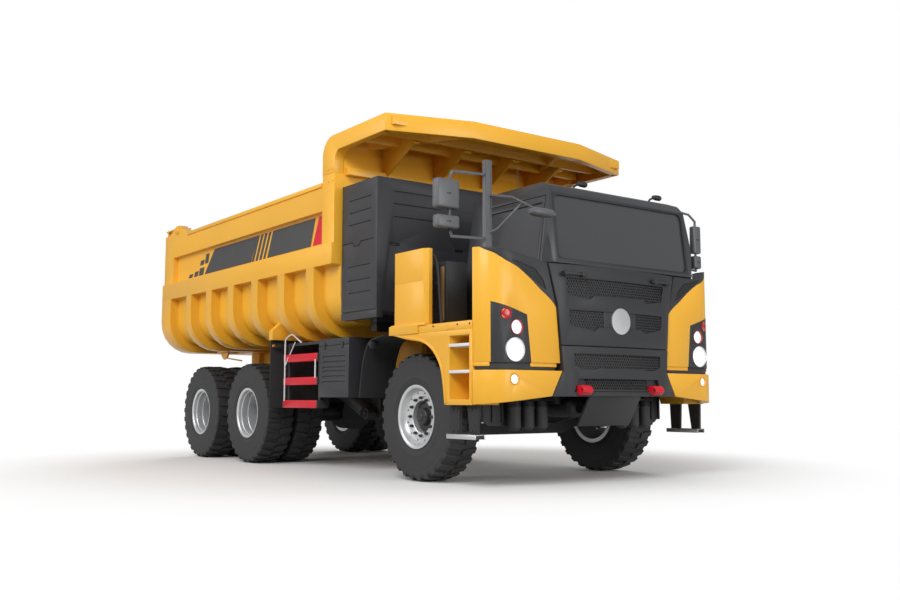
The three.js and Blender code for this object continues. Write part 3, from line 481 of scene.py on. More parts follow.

print("materials made")


# Camera, floor and light.

view = {"place": (-8.119, -9.449, 0.960), "tilt": 96.24, "heading": -36.747, "roll": 0.0, "lens": 38.70,
        "shift": (-0.0057, -0.0078)}


def makeCamera():
    lens = bpy.data.cameras.new("viewCamera")
    lens.lens = view["lens"]
    lens.sensor_width = 36
    lens.shift_x, lens.shift_y = view["shift"]
    lens.clip_end = 300
    camera = bpy.data.objects.new("viewCamera", lens)
    camera.location = Vector(view["place"]) + truckOrigin
    camera.rotation_euler = [math.radians(view[key]) for key in ("tilt", "roll", "heading")]
    bpy.context.scene.collection.objects.link(camera)
    bpy.context.scene.camera = camera


studio = {"backdrop": 1.0, "floor": 0.86, "bounce": 0.28, "world": 0.46, "near": 3.6, "far": 7.0}


def grey(tone):
    return tone, tone, tone, 1


def seenBy(tree, *rays):
    path = addNode(tree, "LightPath").outputs
    return addNode(tree, "Math", {i: path[ray] for i, ray in enumerate(rays)}, operation="MAXIMUM").outputs[0]


def mixInto(tree, amount, first, second, output):
    mix = addNode(tree, "MixShader", {0: amount, 1: first.outputs[0], 2: second.outputs[0]})
    tree.links.new(mix.outputs[0], tree.nodes[output].inputs["Surface"])


def makeFloor():
    deselectAll()
    bpy.ops.mesh.primitive_circle_add(vertices=96, radius=90, fill_type="NGON", location=(0, 0, 0))
    floor = bpy.context.object
    floor.name = "studio_floor"
    material = bpy.data.materials.new("studioFloor")
    material.use_nodes = True
    tree = material.node_tree
    away = addNode(tree, "VectorMath", {0: addNode(tree, "TexCoord").outputs["Object"]}, operation="LENGTH")
    fade = addNode(tree, "MapRange", {"Value": away.outputs["Value"], "From Min": studio["near"],
                                      "From Max": studio["far"]}, interpolation_type="SMOOTHSTEP")
    seen = seenBy(tree, "Is Camera Ray", "Is Glossy Ray")
    tone = addNode(tree, "Mix", {"Factor": seen, "A": grey(studio["bounce"]), "B": grey(studio["floor"])},
                   data_type="RGBA")
    plain = fill(tree, tree.nodes["Principled BSDF"], {"Base Color": tone.outputs["Result"], "Roughness": 0.9,
                                                       "Specular IOR Level": 0.1})
    glow = addNode(tree, "Emission", {"Color": grey(studio["backdrop"])})
    amount = addNode(tree, "Math", {0: seen, 1: fade.outputs[0]}, operation="MULTIPLY")
    mixInto(tree, amount.outputs[0], plain, glow, "Material Output")
    floor.data.materials.append(material)


def makeWorld():
    world = bpy.data.worlds.new("studio")
    bpy.context.scene.world = world
    world.use_nodes = True
    tree = world.node_tree
    light = fill(tree, tree.nodes["Background"], {"Color": grey(1), "Strength": studio["world"]})
    backdrop = addNode(tree, "Background", {"Color": grey(studio["backdrop"])})
    mixInto(tree, seenBy(tree, "Is Camera Ray", "Is Transmission Ray"), light, backdrop, "World Output")


lamps = {
    "keyLamp": {"place": (-13, -11, 12), "size": 8, "power": 1750},
    "sideLamp": {"place": (-15, 5, 7), "size": 8, "power": 700},
    "frontLamp": {"place": (2, -18, 4.5), "size": 7, "power": 820},
    "backLamp": {"place": (9, 14, 9), "size": 9, "power": 900},
}


def makeLamps():
    for name, lamp in lamps.items():
        light = bpy.data.lights.new(name, "AREA")
        light.shape = "DISK"
        light.size = lamp["size"]
        light.energy = lamp["power"]
        holder = bpy.data.objects.new(name, light)
        holder.location = lamp["place"]
        toward = Vector((0, 0, 1.8)) - Vector(lamp["place"])
        holder.rotation_euler = toward.to_track_quat("-Z", "Y").to_euler()
        bpy.context.scene.collection.objects.link(holder)


makeCamera()
makeFloor()
makeWorld()
makeLamps()
bpy.context.scene.view_settings.view_transform = "Standard"
print("studio set")


# Wheels: casings with tread bars, rims, hubs with nuts.

wheel = {"axleHeight": 0.75, "radius": 0.75, "frontMiddle": 1.436, "rearMiddle": 1.358, "twinHalf": 0.2455,
         "rearAxles": (("forward", 4.275), ("rearward", 6.075)), "steps": 72, "lugs": 30, "barGap": 0.0025}
tyreHalfSection = (
    (0.185, 0.345), (0.200, 0.352), (0.205, 0.375), (0.198, 0.392), (0.204, 0.400), (0.210, 0.440), (0.2105, 0.446),
    (0.2145, 0.452), (0.2145, 0.462), (0.2125, 0.468), (0.215, 0.530), (0.2145, 0.590), (0.212, 0.630),
    (0.2085, 0.652),
    (0.2105, 0.658), (0.209, 0.676), (0.204, 0.700), (0.190, 0.716), (0.160, 0.722), (0.080, 0.7235),
)


def tyreLug(middle, side):
    # one tread bar, from the middle of the tread out over the shoulder
    outline = [(0.010, -0.036), (0.055, -0.040), (0.075, -0.022), (0.120, -0.026), (0.205, -0.014), (0.205, 0.060),
               (0.125, 0.046), (0.085, 0.052), (0.055, 0.032), (0.010, 0.036)]
    top = wheel["radius"] - wheel["barGap"]
    bar = slab("z", [(side * a, b) for a, b in outline], top - 0.045, top)
    for vertex in bar.data.vertices:
        reach = abs(vertex.co.x)
        if vertex.co.z > top - 0.01 and reach > 0.19:
            vertex.co.z = top - 0.014
        if vertex.co.z < top - 0.02 and reach > 0.19:
            vertex.co.x = side * 0.2095
            vertex.co.z = top - 0.075
    bevelled(bar, 0.004, 1)
    bar.data.transform(moved(*middle))
    return bar


def makeTyre(middle):
    profile = list(tyreHalfSection) + [(0, 0.724)] + [(-a, r) for a, r in reversed(tyreHalfSection)]
    casing = turned(profile + [profile[0]], middle, wheel["steps"])
    parts = [casing]
    pitch = 2 * math.pi / wheel["lugs"]
    for side in (-1, 1):
        turns = [turnedAbout(middle, pitch * (i + 0.25 * side)) for i in range(wheel["lugs"])]
        parts.append(repeated(tyreLug(middle, side), turns))
    return joined(parts)


def ringOf(piece, middle, count):
    return repeated(piece, [turnedAbout(middle, 2 * math.pi * i / count) for i in range(count)])


def makeFrontRim(middle, side):
    profile = [(-0.206, 0.325), (-0.206, 0.374), (-0.186, 0.374), (-0.186, 0.343), (0.186, 0.343), (0.186, 0.374),
               (0.206, 0.374), (0.207, 0.366), (0.203, 0.352), (0.196, 0.338), (0.170, 0.326), (0.150, 0.318),
               (0.128, 0.300), (0.121, 0.262), (0.118, 0.205), (0.112, 0.190), (0.020, 0.182), (0.014, 0.190),
               (0.020, 0.210), (0.090, 0.222), (0.096, 0.300), (0.060, 0.322), (-0.206, 0.325)]
    rim = turned(profile, middle, 64, "x", side)
    x, y, z = middle
    holes = []
    for i in range(12):
        angle = 2 * math.pi * (i + 0.5) / 12
        deselectAll()
        bpy.ops.mesh.primitive_cylinder_add(vertices=20, radius=0.013, depth=0.09,
                                            location=(x + side * 0.11, y + 0.283 * math.sin(angle),
                                                      z + 0.283 * math.cos(angle)), rotation=(0, math.pi / 2, 0))
        holes.append(bpy.context.object)
    cutter = joined(holes)
    return cutBy(rim, cutter)


def makeFrontHub(middle, side):
    profile = [(-0.05, 0.0), (-0.05, 0.165), (0.060, 0.170), (0.066, 0.160), (0.066, 0.110), (0.082, 0.104),
               (0.118, 0.100), (0.128, 0.090), (0.130, 0.052), (0.142, 0.046), (0.146, 0.036), (0.147, 0.0)]
    hub = turned(profile, middle, 40, "x", side)
    x, y, z = middle
    nuts = ringOf(hexHead((x + side * 0.131, y, z + 0.222), "x", side, 0.020, 0.036, 0.003), middle, 12)
    studs = ringOf(hexHead((x + side * 0.152, y, z + 0.222), "x", side, 0.010, 0.024, 0.003), middle, 12)
    caps = ringOf(hexHead((x + side * 0.130, y, z + 0.072), "x", side, 0.008, 0.014, 0.003), middle, 8)
    return joined([hub, nuts, studs, caps])


def makeRearRim(middle, side):
    out = wheel["twinHalf"]
    profile = [(-out - 0.206, 0.325), (-out - 0.206, 0.374), (-out - 0.186, 0.374), (-out - 0.186, 0.343),
               (out + 0.186, 0.343), (out + 0.186, 0.374), (out + 0.206, 0.374), (out + 0.207, 0.366),
               (out + 0.203, 0.350), (out + 0.190, 0.336), (out + 0.150, 0.330), (out + 0.140, 0.318),
               (out + 0.050, 0.314), (out + 0.044, 0.304), (0.090, 0.300), (0.078, 0.288), (0.050, 0.276),
               (0.046, 0.200), (0.030, 0.190), (0.020, 0.200), (0.022, 0.300), (-0.02, 0.322), (-out - 0.206, 0.325)]
    return turned(profile, middle, 64, "x", side)


def makeRearHub(middle, side):
    profile = [(-0.30, 0.0), (-0.30, 0.185), (0.030, 0.185), (0.040, 0.205), (0.056, 0.205), (0.062, 0.150),
               (0.120, 0.145), (0.160, 0.130), (0.172, 0.110), (0.176, 0.050), (0.182, 0.044), (0.183, 0.0)]
    hub = turned(profile, middle, 40, "x", side)
    x, y, z = middle
    nuts = ringOf(hexHead((x + side * 0.072, y, z + 0.243), "x", side, 0.020, 0.040, 0.003), middle, 12)
    caps = ringOf(hexHead((x + side * 0.178, y, z + 0.085), "x", side, 0.009, 0.014, 0.003), middle, 10)
    return joined([hub, nuts, caps])


def makeWheels():
    start = (0, 0, wheel["axleHeight"])
    tyre = makeTyre(start)
    for axle, words, x, y, shifts, rimOf, hubOf in (
            ("front", ("tyre", "wheel"), wheel["frontMiddle"], 0, (0,), makeFrontRim, makeFrontHub),
            *[(axle, ("tyres", "wheels"), wheel["rearMiddle"], y, (-wheel["twinHalf"], wheel["twinHalf"]),
               makeRearRim,
               makeRearHub) for axle, y in wheel["rearAxles"]]):
        for name, side in sides:
            body = f"{axle}_{words[1]}_{name}"
            casings = [copied(tyre, moved(side * x + shift, y, 0)) for shift in shifts]
            node = f"{axle}_{words[0]}_{name}"
            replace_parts(finished(node + "_tread", casings, "tyreRubber", body), node)
            middle = (side * x, y, wheel["axleHeight"])
            node = f"{axle}_rim_{name}"
            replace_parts(finished(node + "_dish", rimOf(middle, side), "wheelSilver", body), node)
            finished(f"{axle}_hub_{name}", hubOf(middle, side), "nutBlack", body)
    bpy.data.objects.remove(tyre)


makeWheels()
print("wheels made")


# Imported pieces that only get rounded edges.

roundedNodes = {
    "bodyYellow": {"dump_tub": 0.008, "body_subframe": 0.005, "canopy": 0.008, "tailgate": 0.006, "deck": 0.005,
                   "fender_right": 0.005, "fender_left": 0.005},
    "boxGrey": {"deck_cabinet": 0.01},
    "cabGrey": {"cab_shell": 0.007, "cab_door_right": 0.005, "cab_door_left": 0.005},
    "chassisBlack": {"frame": 0.004, "skid_plate": 0.005, "side_ladder": 0.003, "drive_motor": 0.02,
                     "rear_suspension": 0.006,
                     "hoist_barrel_right": 0.003, "hoist_barrel_left": 0.003},
    "flapRubber": {"mud_flap_right": 0.003, "mud_flap_left": 0.003},
    "moulding": {"dashboard": 0.006},
    "seatCloth": {"driver_seat": 0.03},
}


def refineNodes():
    for look, nodes in roundedNodes.items():
        for node, edge in nodes.items():
            refined(node, look, edge)


def paintNodes():
    kept = {"chassisBlack": ["steering_knuckle_right", "steering_knuckle_left", "tie_rod", "front_axle",
                             "forward_axle", "rearward_axle"],
            "brightSteel": ["hoist_rod_right", "hoist_rod_left"],
            "darkGlass": ["windscreen", "door_glass_right", "door_glass_left"],
            "flapRubber": ["hanging_step_right", "hanging_step_left"]}
    for look, nodes in kept.items():
        for node in nodes:
            mesh = frame["nodes"][node].data
            mesh.materials.clear()
            mesh.materials.append(paints[look])


refineNodes()
paintNodes()
print("packed pieces refined")


# the middle of the front: bowed panel, grilles, bare badge disc, handles, bumper mouth and tow hooks
front = {
    "bow": (-1.745, 0.095, 1.03),
    "grilles": {
        "upper": {"outline": [(0.795, 2.293), (0.77, 2.13), (0.74, 2.105), (0.46, 2.068), (0.40, 2.112)],
                  "top": [(0, 2.293)], "bottom": [(0, 2.112), (0.40, 2.112), (0.46, 2.068), (0.74, 2.105),
                                                  (0.80, 2.13)]},
        "middle": {"outline": [(0.755, 1.935), (0.745, 1.80), (0.71, 1.765), (0.40, 1.714), (0.345, 1.756)],
                   "top": [(0, 1.935)], "bottom": [(0, 1.756), (0.345, 1.756), (0.40, 1.714), (0.71, 1.765),
                                                   (0.76, 1.80)]},
        "lower": {"outline": [(0.698, 1.455), (0.675, 1.33), (0.60, 1.285), (0.415, 1.281), (0.37, 1.297)],
                  "top": [(0, 1.455)], "bottom": [(0, 1.297), (0.37, 1.297), (0.415, 1.281), (0.60, 1.285),
                                                  (0.70, 1.33)]},
    },
    "recess": 0.026, "cell": 0.036, "mouth": (0.62, 1.165, 1.045), "badge": (1.837, 0.150),
    "handle": (0.55, 0.86, 2.336), "hook": (0.505, 0.655, 1.0, 1.108),
}


def frontFace(x):
    middle, fall, edge = front["bow"]
    return middle + fall * (x / edge) ** 2


def makeGrille(name, shape, body):
    half = shape["outline"][0][0]
    back = bowedPlate(spread(-half - 0.004, half + 0.004, 25), [(0, shape["top"][0][1] + 0.004)],
                      [(x, z - 0.004) for x, z in shape["bottom"]], lambda x: frontFace(x) + front["recess"], 0.006)
    finished(name + "_back", back, "nutBlack", body)
    cells = honeycomb(-half, half, shape["top"], shape["bottom"], lambda x: frontFace(x) + front["recess"] - 0.012,
                      front["cell"], 0.013)
    finished(name + "_cells", cells, "gridGrey", body)


def makeFront():
    panel = copyOfNode("front_panel")
    for key in ("upper", "middle"):
        shape = front["grilles"][key]
        makeGrille(f"grille_{key}", shape, "front_lid")
        outline = shape["outline"] + [(-x, z) for x, z in reversed(shape["outline"])]
        cutBy(panel, slab("y", outline, front["bow"][0] - 0.06, front["bow"][0] + 0.16))
    refined("front_panel", "panelGrey", 0.005, panel)
    bumper = copyOfNode("centre_bumper")
    shape = front["grilles"]["lower"]
    makeGrille("grille_lower", shape, "chassis")
    half = shape["outline"][0][0]
    cutBy(bumper, bowedPlate(spread(-half, half, 25), shape["top"], shape["bottom"], lambda x: frontFace(x) - 0.02,
                             front["recess"] + 0.021))
    refined("centre_bumper", "panelGrey", 0.006, bumper)
    half, top, bottom = front["mouth"]
    cells = honeycomb(-half + 0.14, half - 0.14, [(0, top)], [(0, bottom)], lambda x: front["bow"][0] + 0.070,
                      0.036, 0.014)
    finished("mouth_cells", cells, "gridGrey")
    lip = block((-0.47, 0.47), (-1.71, -1.662), (1.038, 1.062))
    finished("mouth_grille_sill", lip, "moulding", "chassis", 0.004)
    # a black plate behind the gap under the lid: painted shade for the shadow in that gap
    gapShadePlate = bowedPlate(spread(-0.84, 0.84, 21), [(0, 1.62)], [(0, 1.52)], lambda x: frontFace(x) + 0.052, 0.02)
    finished("lid_gap_painted_shade", gapShadePlate, "nutBlack")
    z, radius = front["badge"]
    plate = turned([(-0.012, 0), (-0.012, radius), (0.004, radius), (0.010, radius - 0.008), (0.014, radius * 0.6),
                    (0.016, 0)], (0, front["bow"][0] - 0.001, z), 48, "y", -1)
    finished("blank_badge", plate, "badgeSilver", "front_lid")
    # the recessed seat round the badge is black: painted shade for the shadow in the recess
    seat = bowedPlate(spread(-0.26, 0.26, 13), [(0, 1.936)], [(0, 1.755)], lambda x: frontFace(x) + 0.010, 0.020)
    finished("badge_seat_painted_shade", seat, "moulding", "front_lid", 0.003)
    low, high, z = front["handle"]
    first, last, base, head = front["hook"]
    for name, side in sides:
        grips = [tube([(side * low, frontFace(low) - 0.045, z), (side * high, frontFace(high) - 0.045, z)], 0.017)]
        for x in (low + 0.035, high - 0.035):
            grips.append(block((side * (x - 0.032), side * (x + 0.032)),
                               (frontFace(x) - 0.058, frontFace(x) + 0.01), about(z, 0.026)))
        grips.append(block((side * (low - 0.015), side * (high + 0.015)),
                           (frontFace(0.7) - 0.060, frontFace(0.7) - 0.030), about(z, 0.016)))
        finished(f"lid_handle_{name}", grips, "moulding", "front_lid", 0.005)
        profile = [(-1.60, base), (-1.755, base), (-1.790, base + 0.035), (-1.790, head - 0.035), (-1.755, head),
                   (-1.60, head)]
        hook = slab("x", profile, side * first, side * last)
        eye = turned([(-0.1, 0), (-0.1, 0.018), (0.1, 0.018), (0.1, 0)],
                     (side * (first + last) / 2, -1.772, (base + head) / 2), 24, "x")
        cutBy(hook, eye)
        finished(f"tow_hook_{name}", hook, "signalRed", "chassis", 0.006)


makeFront()
print("front made")


# headlamp pods: yellow below the sweep line, a dark cowl with a mesh corner above, and the lamp plate
pod = {
    "sweep": [(1.90, 2.64), (1.80, 2.545), (1.72, 2.50), (1.606, 2.425), (1.445, 2.354), (1.281, 2.249),
              (1.139, 2.141), (1.018, 2.058), (0.934, 1.98), (0.86, 1.88)],
    "mesh": [(1.53, 2.435), (1.444, 2.425), (1.208, 2.362), (1.090, 2.245), (1.055, 2.140), (1.351, 2.312)],
    "meshTop": [(1.055, 2.150), (1.085, 2.245), (1.208, 2.362), (1.444, 2.425), (1.53, 2.435)],
    "meshBottom": [(1.055, 2.140), (1.351, 2.312), (1.53, 2.430)],
    "plateTop": [(1.273, 1.352), (1.328, 1.857), (1.749, 1.986)],
    "plateBottom": [(1.273, 1.344), (1.749, 1.338)],
    "corner": (1.490, -1.250, 0.390), "face": -1.640,
}
podLamps = {
    "upper_lamp": {"place": (1.604, 1.859), "radius": 0.062, "lens": "lampRed", "liner": "lampRed", "depth": 0.010},
    "middle_lamp": {"place": (1.470, 1.719), "radius": 0.082, "lens": "lampWhitePaintedBright", "liner": "lampRed",
                    "depth": 0.020},
    "headlamp": {"place": (1.493, 1.479), "radius": 0.130, "lens": "lampWhitePaintedBright", "liner": "wheelSilver",
                 "depth": 0.022},
}


def podFace(x):
    middle, back, radius = pod["corner"]
    reach = abs(x) - middle
    return pod["face"] if reach <= 0 else back - math.sqrt(radius ** 2 - reach ** 2)


def lampTurn(side, x, z, face):
    lean = math.asin(max(x - pod["corner"][0], 0) / pod["corner"][2])
    return Matrix.Translation((side * x, face, z)) @ Matrix.Rotation(side * lean, 4, "Z")


def boredLamp(name, carrier, side, look, face):
    # a lens set back in a lined bore; the bore is cut in the carrier
    x, z = look["place"]
    radius, depth = look["radius"], look["depth"]
    turn = lampTurn(side, x, z, face)
    bore = turned([(-depth - 0.003, 0), (-depth - 0.003, radius), (0.05, radius), (0.05, 0)], (0, 0, 0), 40, "y", -1)
    bore.data.transform(turn)
    cutBy(carrier, bore)
    wall = 0.007
    liner = turned([(-depth - 0.0025, radius - wall), (-depth - 0.0025, radius - 0.0004), (0.003, radius - 0.0004),
                    (0.004, radius - 0.003), (0.002, radius - wall), (-depth - 0.0025, radius - wall)], (0, 0, 0),
                   40, "y", -1)
    liner.data.transform(turn)
    finished(name + "_liner", liner, look["liner"])
    lens = turned([(-depth - 0.002, 0), (-depth - 0.002, radius - wall - 0.0004),
                   (-depth + 0.004, radius - wall - 0.0004), (-depth + 0.009, radius * 0.6), (-depth + 0.010, 0)],
                  (0, 0, 0), 40, "y", -1)
    lens.data.transform(turn)
    finished(name + "_lens", lens, look["lens"])


def makePod(name, side):
    node = f"headlamp_pod_{name}"
    line = curve(pod["sweep"], 4)
    above = [(side * x, z + 0.0015) for x, z in line] + [(side * 0.6, 1.88), (side * 0.6, 2.9), (side * 1.99, 2.9)]
    below = [(side * x, z - 0.0015) for x, z in line] + [(side * 0.6, 1.88), (side * 0.6, 1.2), (side * 2.0, 1.2),
                                                         (side * 2.0, 2.66)]
    lower = cutBy(copyOfNode(node), slab("y", above, -1.9, -0.9))
    upper = cutBy(copyOfNode(node), slab("y", below, -1.9, -0.9))
    refined(node, "bodyYellow", 0.007, lower)
    mesh = [(side * x, z) for x, z in pod["mesh"]]
    cutBy(upper, slab("y", mesh, -1.70, -1.628))
    finished(f"pod_cowl_{name}", upper, "panelGrey", "chassis", 0.005)
    back = slab("y", mesh, -1.632, -1.626)
    finished(f"cowl_mesh_back_{name}", back, "nutBlack")
    low, high = sorted((side * 1.06, side * 1.50))
    cells = honeycomb(low, high, pod["meshTop"], pod["meshBottom"], lambda x: -1.640, 0.024, 0.009)
    finished(f"cowl_mesh_{name}", cells, "gridGrey")
    stations = [side * x for x in (1.273, 1.328, 1.40, 1.46, 1.49, 1.52, 1.56, 1.60, 1.64, 1.68, 1.715, 1.749)]
    plate = bowedPlate(stations, pod["plateTop"], pod["plateBottom"], lambda x: podFace(x) - 0.0015, 0.032)
    for key, look in podLamps.items():
        boredLamp(f"{key}_{name}", plate, side, look, podFace(look["place"][0]) - 0.0015)
    finished(f"lamp_plate_{name}", plate, "panelGrey", "chassis", 0.002)
    ledge = [(side * x, podFace(x) + 0.020) for x in (0.92, 1.10, 1.30, 1.49, 1.56, 1.64, 1.71, 1.77, 1.81, 1.835)]
    rear = [(side * 1.835, -1.385), (side * 0.92, -1.385)]
    shelf = slab("z", ledge + rear, 1.2605, 1.346)
    finished(f"pod_shelf_{name}", shelf, "moulding", "chassis", 0.003)
    for tag, span in (("inner", (0.90, 1.275)), ("outer", (1.755, 1.862))):
        strip = bowedPlate([side * x for x in spread(*span, 6)], [(0, 1.346)], [(0, 1.302)],
                           lambda x: podFace(x) + 0.008, 0.03)
        finished(f"pod_lip_{tag}_{name}", strip, "bodyYellow", "chassis", 0.003)


cornerLamp = {"place": (1.520, 1.166), "radius": 0.058, "lens": "lampWhitePaintedBright", "liner": "lampAmber", "depth": 0.020}


def makeCornerBumper(name, side):
    node = f"corner_bumper_{name}"
    piece = copyOfNode(node)
    boredLamp(f"fog_lamp_{name}", piece, side, cornerLamp, -1.660)
    refined(node, "bodyYellow", 0.009, piece)


for name, side in sides:
    makePod(name, side)
    makeCornerBumper(name, side)
print("pods made")


# stripes of the side panel: dark slanted fields, thin bars and a red field, with no lettering
stripes = {
    "face": (1.920, 1.9235), "base": 3.012, "head": 3.388,
    "fields": [[(5.80, "low"), (5.40, "high"), (3.80, "high"), (4.01, "low")],
               [(3.46, "low"), (3.28, "high"), (2.00, "high"), (2.13, "low")]],
    "bars": [(3.855, 0.080), (3.725, 0.080), (3.595, 0.080), (3.465, 0.070)],
    "lean": 0.19,
    "chips": [(6.50, 6.34, 3.012, 3.070), (6.26, 6.10, 3.012, 3.095), (6.05, 5.86, 3.012, 3.135),
              (6.01, 5.86, 3.180, 3.260), (5.80, 5.66, 3.190, 3.345)],
    "red": [(2.07, "low"), (1.90, "high"), (1.685, "high"), (1.685, "low")],
}


def makeStripes(name, side):
    near, far = (side * x for x in stripes["face"])
    height = {"low": stripes["base"], "high": stripes["head"]}
    dark = []
    for field in stripes["fields"]:
        dark.append(slab("x", [(y, height[z]) for y, z in field], near, far))
    for y, width in stripes["bars"]:
        lean = stripes["lean"]
        dark.append(slab("x", [(y + lean / 2 + width / 2, height["low"]),
                               (y - lean / 2 + width / 2, height["high"]),
                               (y - lean / 2 - width / 2, height["high"]),
                               (y + lean / 2 - width / 2, height["low"])], near, far))
    for rear, fore, low, high in stripes["chips"]:
        dark.append(slab("x", [(rear, low), (rear - 0.05, high), (fore - 0.05, high), (fore, low)], near, far))
    finished(f"panel_stripes_{name}", dark, "stripeDark", "dump_body")
    red = slab("x", [(y, height[z]) for y, z in stripes["red"]], near, far)
    finished(f"panel_red_{name}", red, "signalRed", "dump_body")


# dump body: bolts at the posts, lips on the rails, cross beams and gussets under the canopy
tubTrim = {"postX": 2.000, "boltY": (1.415, 1.52), "boltZ": 3.79, "lip": (1.40, 6.90, 3.742, 3.800),
           "flapStrip": (-1.921, 3.296, 1.80), "pin": (6.88, 3.89)}
canopyTrim = {"beams": (0.10, 0.98), "beamZ": (4.245, 4.36), "gussets": (-1.25, -0.42, 0.42, 1.25), "wallY": 1.355}


def makeTubTrim():
    for name, side in sides:
        x = side * tubTrim["postX"]
        bolts = [hexHead((x + side * 0.004, y, tubTrim["boltZ"]), "x", side) for y in tubTrim["boltY"]]
        bolts += [hexHead((side * 2.009, y, tubTrim["boltZ"] + 0.16), "x", side) for y in tubTrim["boltY"]]
        finished(f"post_bolts_{name}", bolts, "bodyYellow", "dump_body")
        front, rear, low, high = tubTrim["lip"]
        lip = block((side * 1.99, side * 2.018), (front + 0.29, rear - 0.50), (low, high))
        finished(f"rail_lip_{name}", lip, "bodyYellow", "dump_body", 0.008)
        y, z = tubTrim["pin"]
        cap = turned([(-0.02, 0), (-0.02, 0.075), (0.010, 0.075), (0.016, 0.060), (0.030, 0.052), (0.032, 0)],
                     (side * 2.000, y, z), 32, "x", side)
        finished(f"gate_pin_cap_{name}", cap, "bodyYellow", "dump_body")
        ends = [slab("x", [(y - 0.02, 3.82), (y + 0.02, 3.82), (y + 0.02, 3.93), (y - 0.02, 3.93)], side * 1.87,
                     side * 1.99)
                for y in (7.05, 7.36)]
        ends.append(block((side * 1.86, side * 2.005), (7.01, 7.41), (3.915, 3.940)))
        finished(f"rear_post_cap_{name}", ends, "bodyYellow", "dump_body", 0.004)
        x, y, z = tubTrim["flapStrip"]
        finished(f"flap_marker_{name}", block((-side * x - side * 0.14, -side * x), (y - 0.072, y - 0.0605),
                                              (z - 0.10, z - 0.07)),
                 "lampAmber", "dump_body", 0.002)
        finished(f"flap_bar_{name}", block(both(side, (0.97, 1.90)), about(3.20, 0.008), (1.70, 1.735)),
                 "chassisBlack", "dump_body", 0.003)


def makeCanopyTrim():
    parts = []
    low, high = canopyTrim["beamZ"]
    for y in canopyTrim["beams"]:
        parts.append(block((-1.93, 1.93), about(y, 0.035), (low, high)))
    wall = canopyTrim["wallY"]
    parts.append(block((-1.84, 1.84), (wall - 0.09, wall + 0.02), (3.86, 3.96)))
    for x in canopyTrim["gussets"]:
        parts.append(slab("x", [(wall + 0.01, 3.90), (wall + 0.01, 4.36), (0.62, 4.36), (0.62, 4.24),
                                (wall - 0.06, 3.90)], x - 0.014, x + 0.014))
        parts.append(block(about(x, 0.055), (0.57, 0.67), (4.22, 4.245)))
    finished("canopy_ribs", parts, "bodyYellow", "dump_body", 0.004)
    trim = []
    for side in (-1, 1):
        trim.append(slab("z", [(side * 2.000, 0.155), (side * 2.000, 1.05), (side * 1.90, 1.05),
                               (side * 1.90, 0.20)], 4.178, 4.190))
        trim.append(slab("z", [(side * 2.000, 0.155), (side * 0.905, -0.183), (side * 0.905, -0.09),
                               (side * 1.96, 0.235)], 4.178, 4.190))
    trim.append(block((-0.905, 0.905), (-0.183, -0.09), (4.178, 4.190)))
    finished("canopy_flange", trim, "bodyYellow", "dump_body", 0.002)


# battery box: vent grooves, catches and a plinth line
boxLines = {
    "sideX": 1.900, "frontY": 0.473, "grooveDepth": 0.014, "grooveHeight": 0.012,
    "side": [(0.62, 1.14, 3.47), (0.62, 1.14, 3.31), (0.62, 1.14, 3.155), (0.62, 1.17, 2.617), (0.62, 1.17, 2.44),
             (0.62, 1.14, 2.283), (0.475, 1.321, 2.045)],
    "middle": (0.55, 1.30, 2.93), "front": [(0.93, 1.653, 3.527), (0.93, 1.653, 3.369), (0.93, 1.653, 3.206)],
    "catches": [(1.563, 1.711, 2.86), (0.576, 0.711, 2.86)],
}


def makeBatteryBox():
    piece = copyOfNode("battery_box")
    cutters = []
    half = boxLines["grooveHeight"] / 2
    deep = boxLines["grooveDepth"]
    for name, side in sides:
        x = boxLines["sideX"]
        for y0, y1, z in boxLines["side"][:-1]:
            cutters.append(block((side * (x - deep), side * (x + 0.02)), (y0, y1), (z - half, z + half)))
        y0, y1, z = boxLines["side"][-1]
        cutters.append(block((side * (x - deep), side * (x + 0.02)), (y0 - 0.01, y1 + 0.01), (z - half, z + half)))
        y0, y1, z = boxLines["middle"]
        cutters.append(slab("x", [(y0, z), (0.86, z), (0.90, z - 0.05), (1.02, z - 0.05), (1.05, z), (y1, z),
                                  (y1, z - 0.010), (1.055, z - 0.010), (1.028, z - 0.060), (0.892, z - 0.060),
                                  (0.855, z - 0.010), (y0, z - 0.010)], side * (x - deep), side * (x + 0.02)))
        y = boxLines["frontY"]
        for x0, x1, z in boxLines["front"]:
            cutters.append(block((side * x0, side * x1), (y - 0.02, y + deep), (z - half, z + half)))
        for x0, x1, z in boxLines["catches"]:
            cutters.append(block((side * x0, side * x1), (y - 0.02, y + deep), about(z, 0.016)))
    cutBy(piece, joined(cutters))
    refined("battery_box", "boxGrey", 0.010, piece)
    grips = []
    for name, side in sides:
        y = boxLines["frontY"]
        for x0, x1, z in boxLines["catches"]:
            grips.append(block((side * (x0 + 0.012), side * (x1 - 0.012)), (y - 0.004, y + 0.010),
                               (z - 0.010, z + 0.004)))
    finished("battery_box_catches", grips, "nutBlack", "chassis", 0.002)


# side boxes: louvres; side ladder: end caps, a white guard rail and bare rungs
sideGear = {"boxX": 1.800, "louvres": (1.52, 1.45, 1.38, 1.33, 1.26, 1.19), "louvreY": (1.38, 1.98),
            "stepZ": (0.837, 1.153, 1.475), "ladderY": (2.081, 3.100), "stepHeight": 0.100,
            "ladderX": (-1.810, -1.660)}


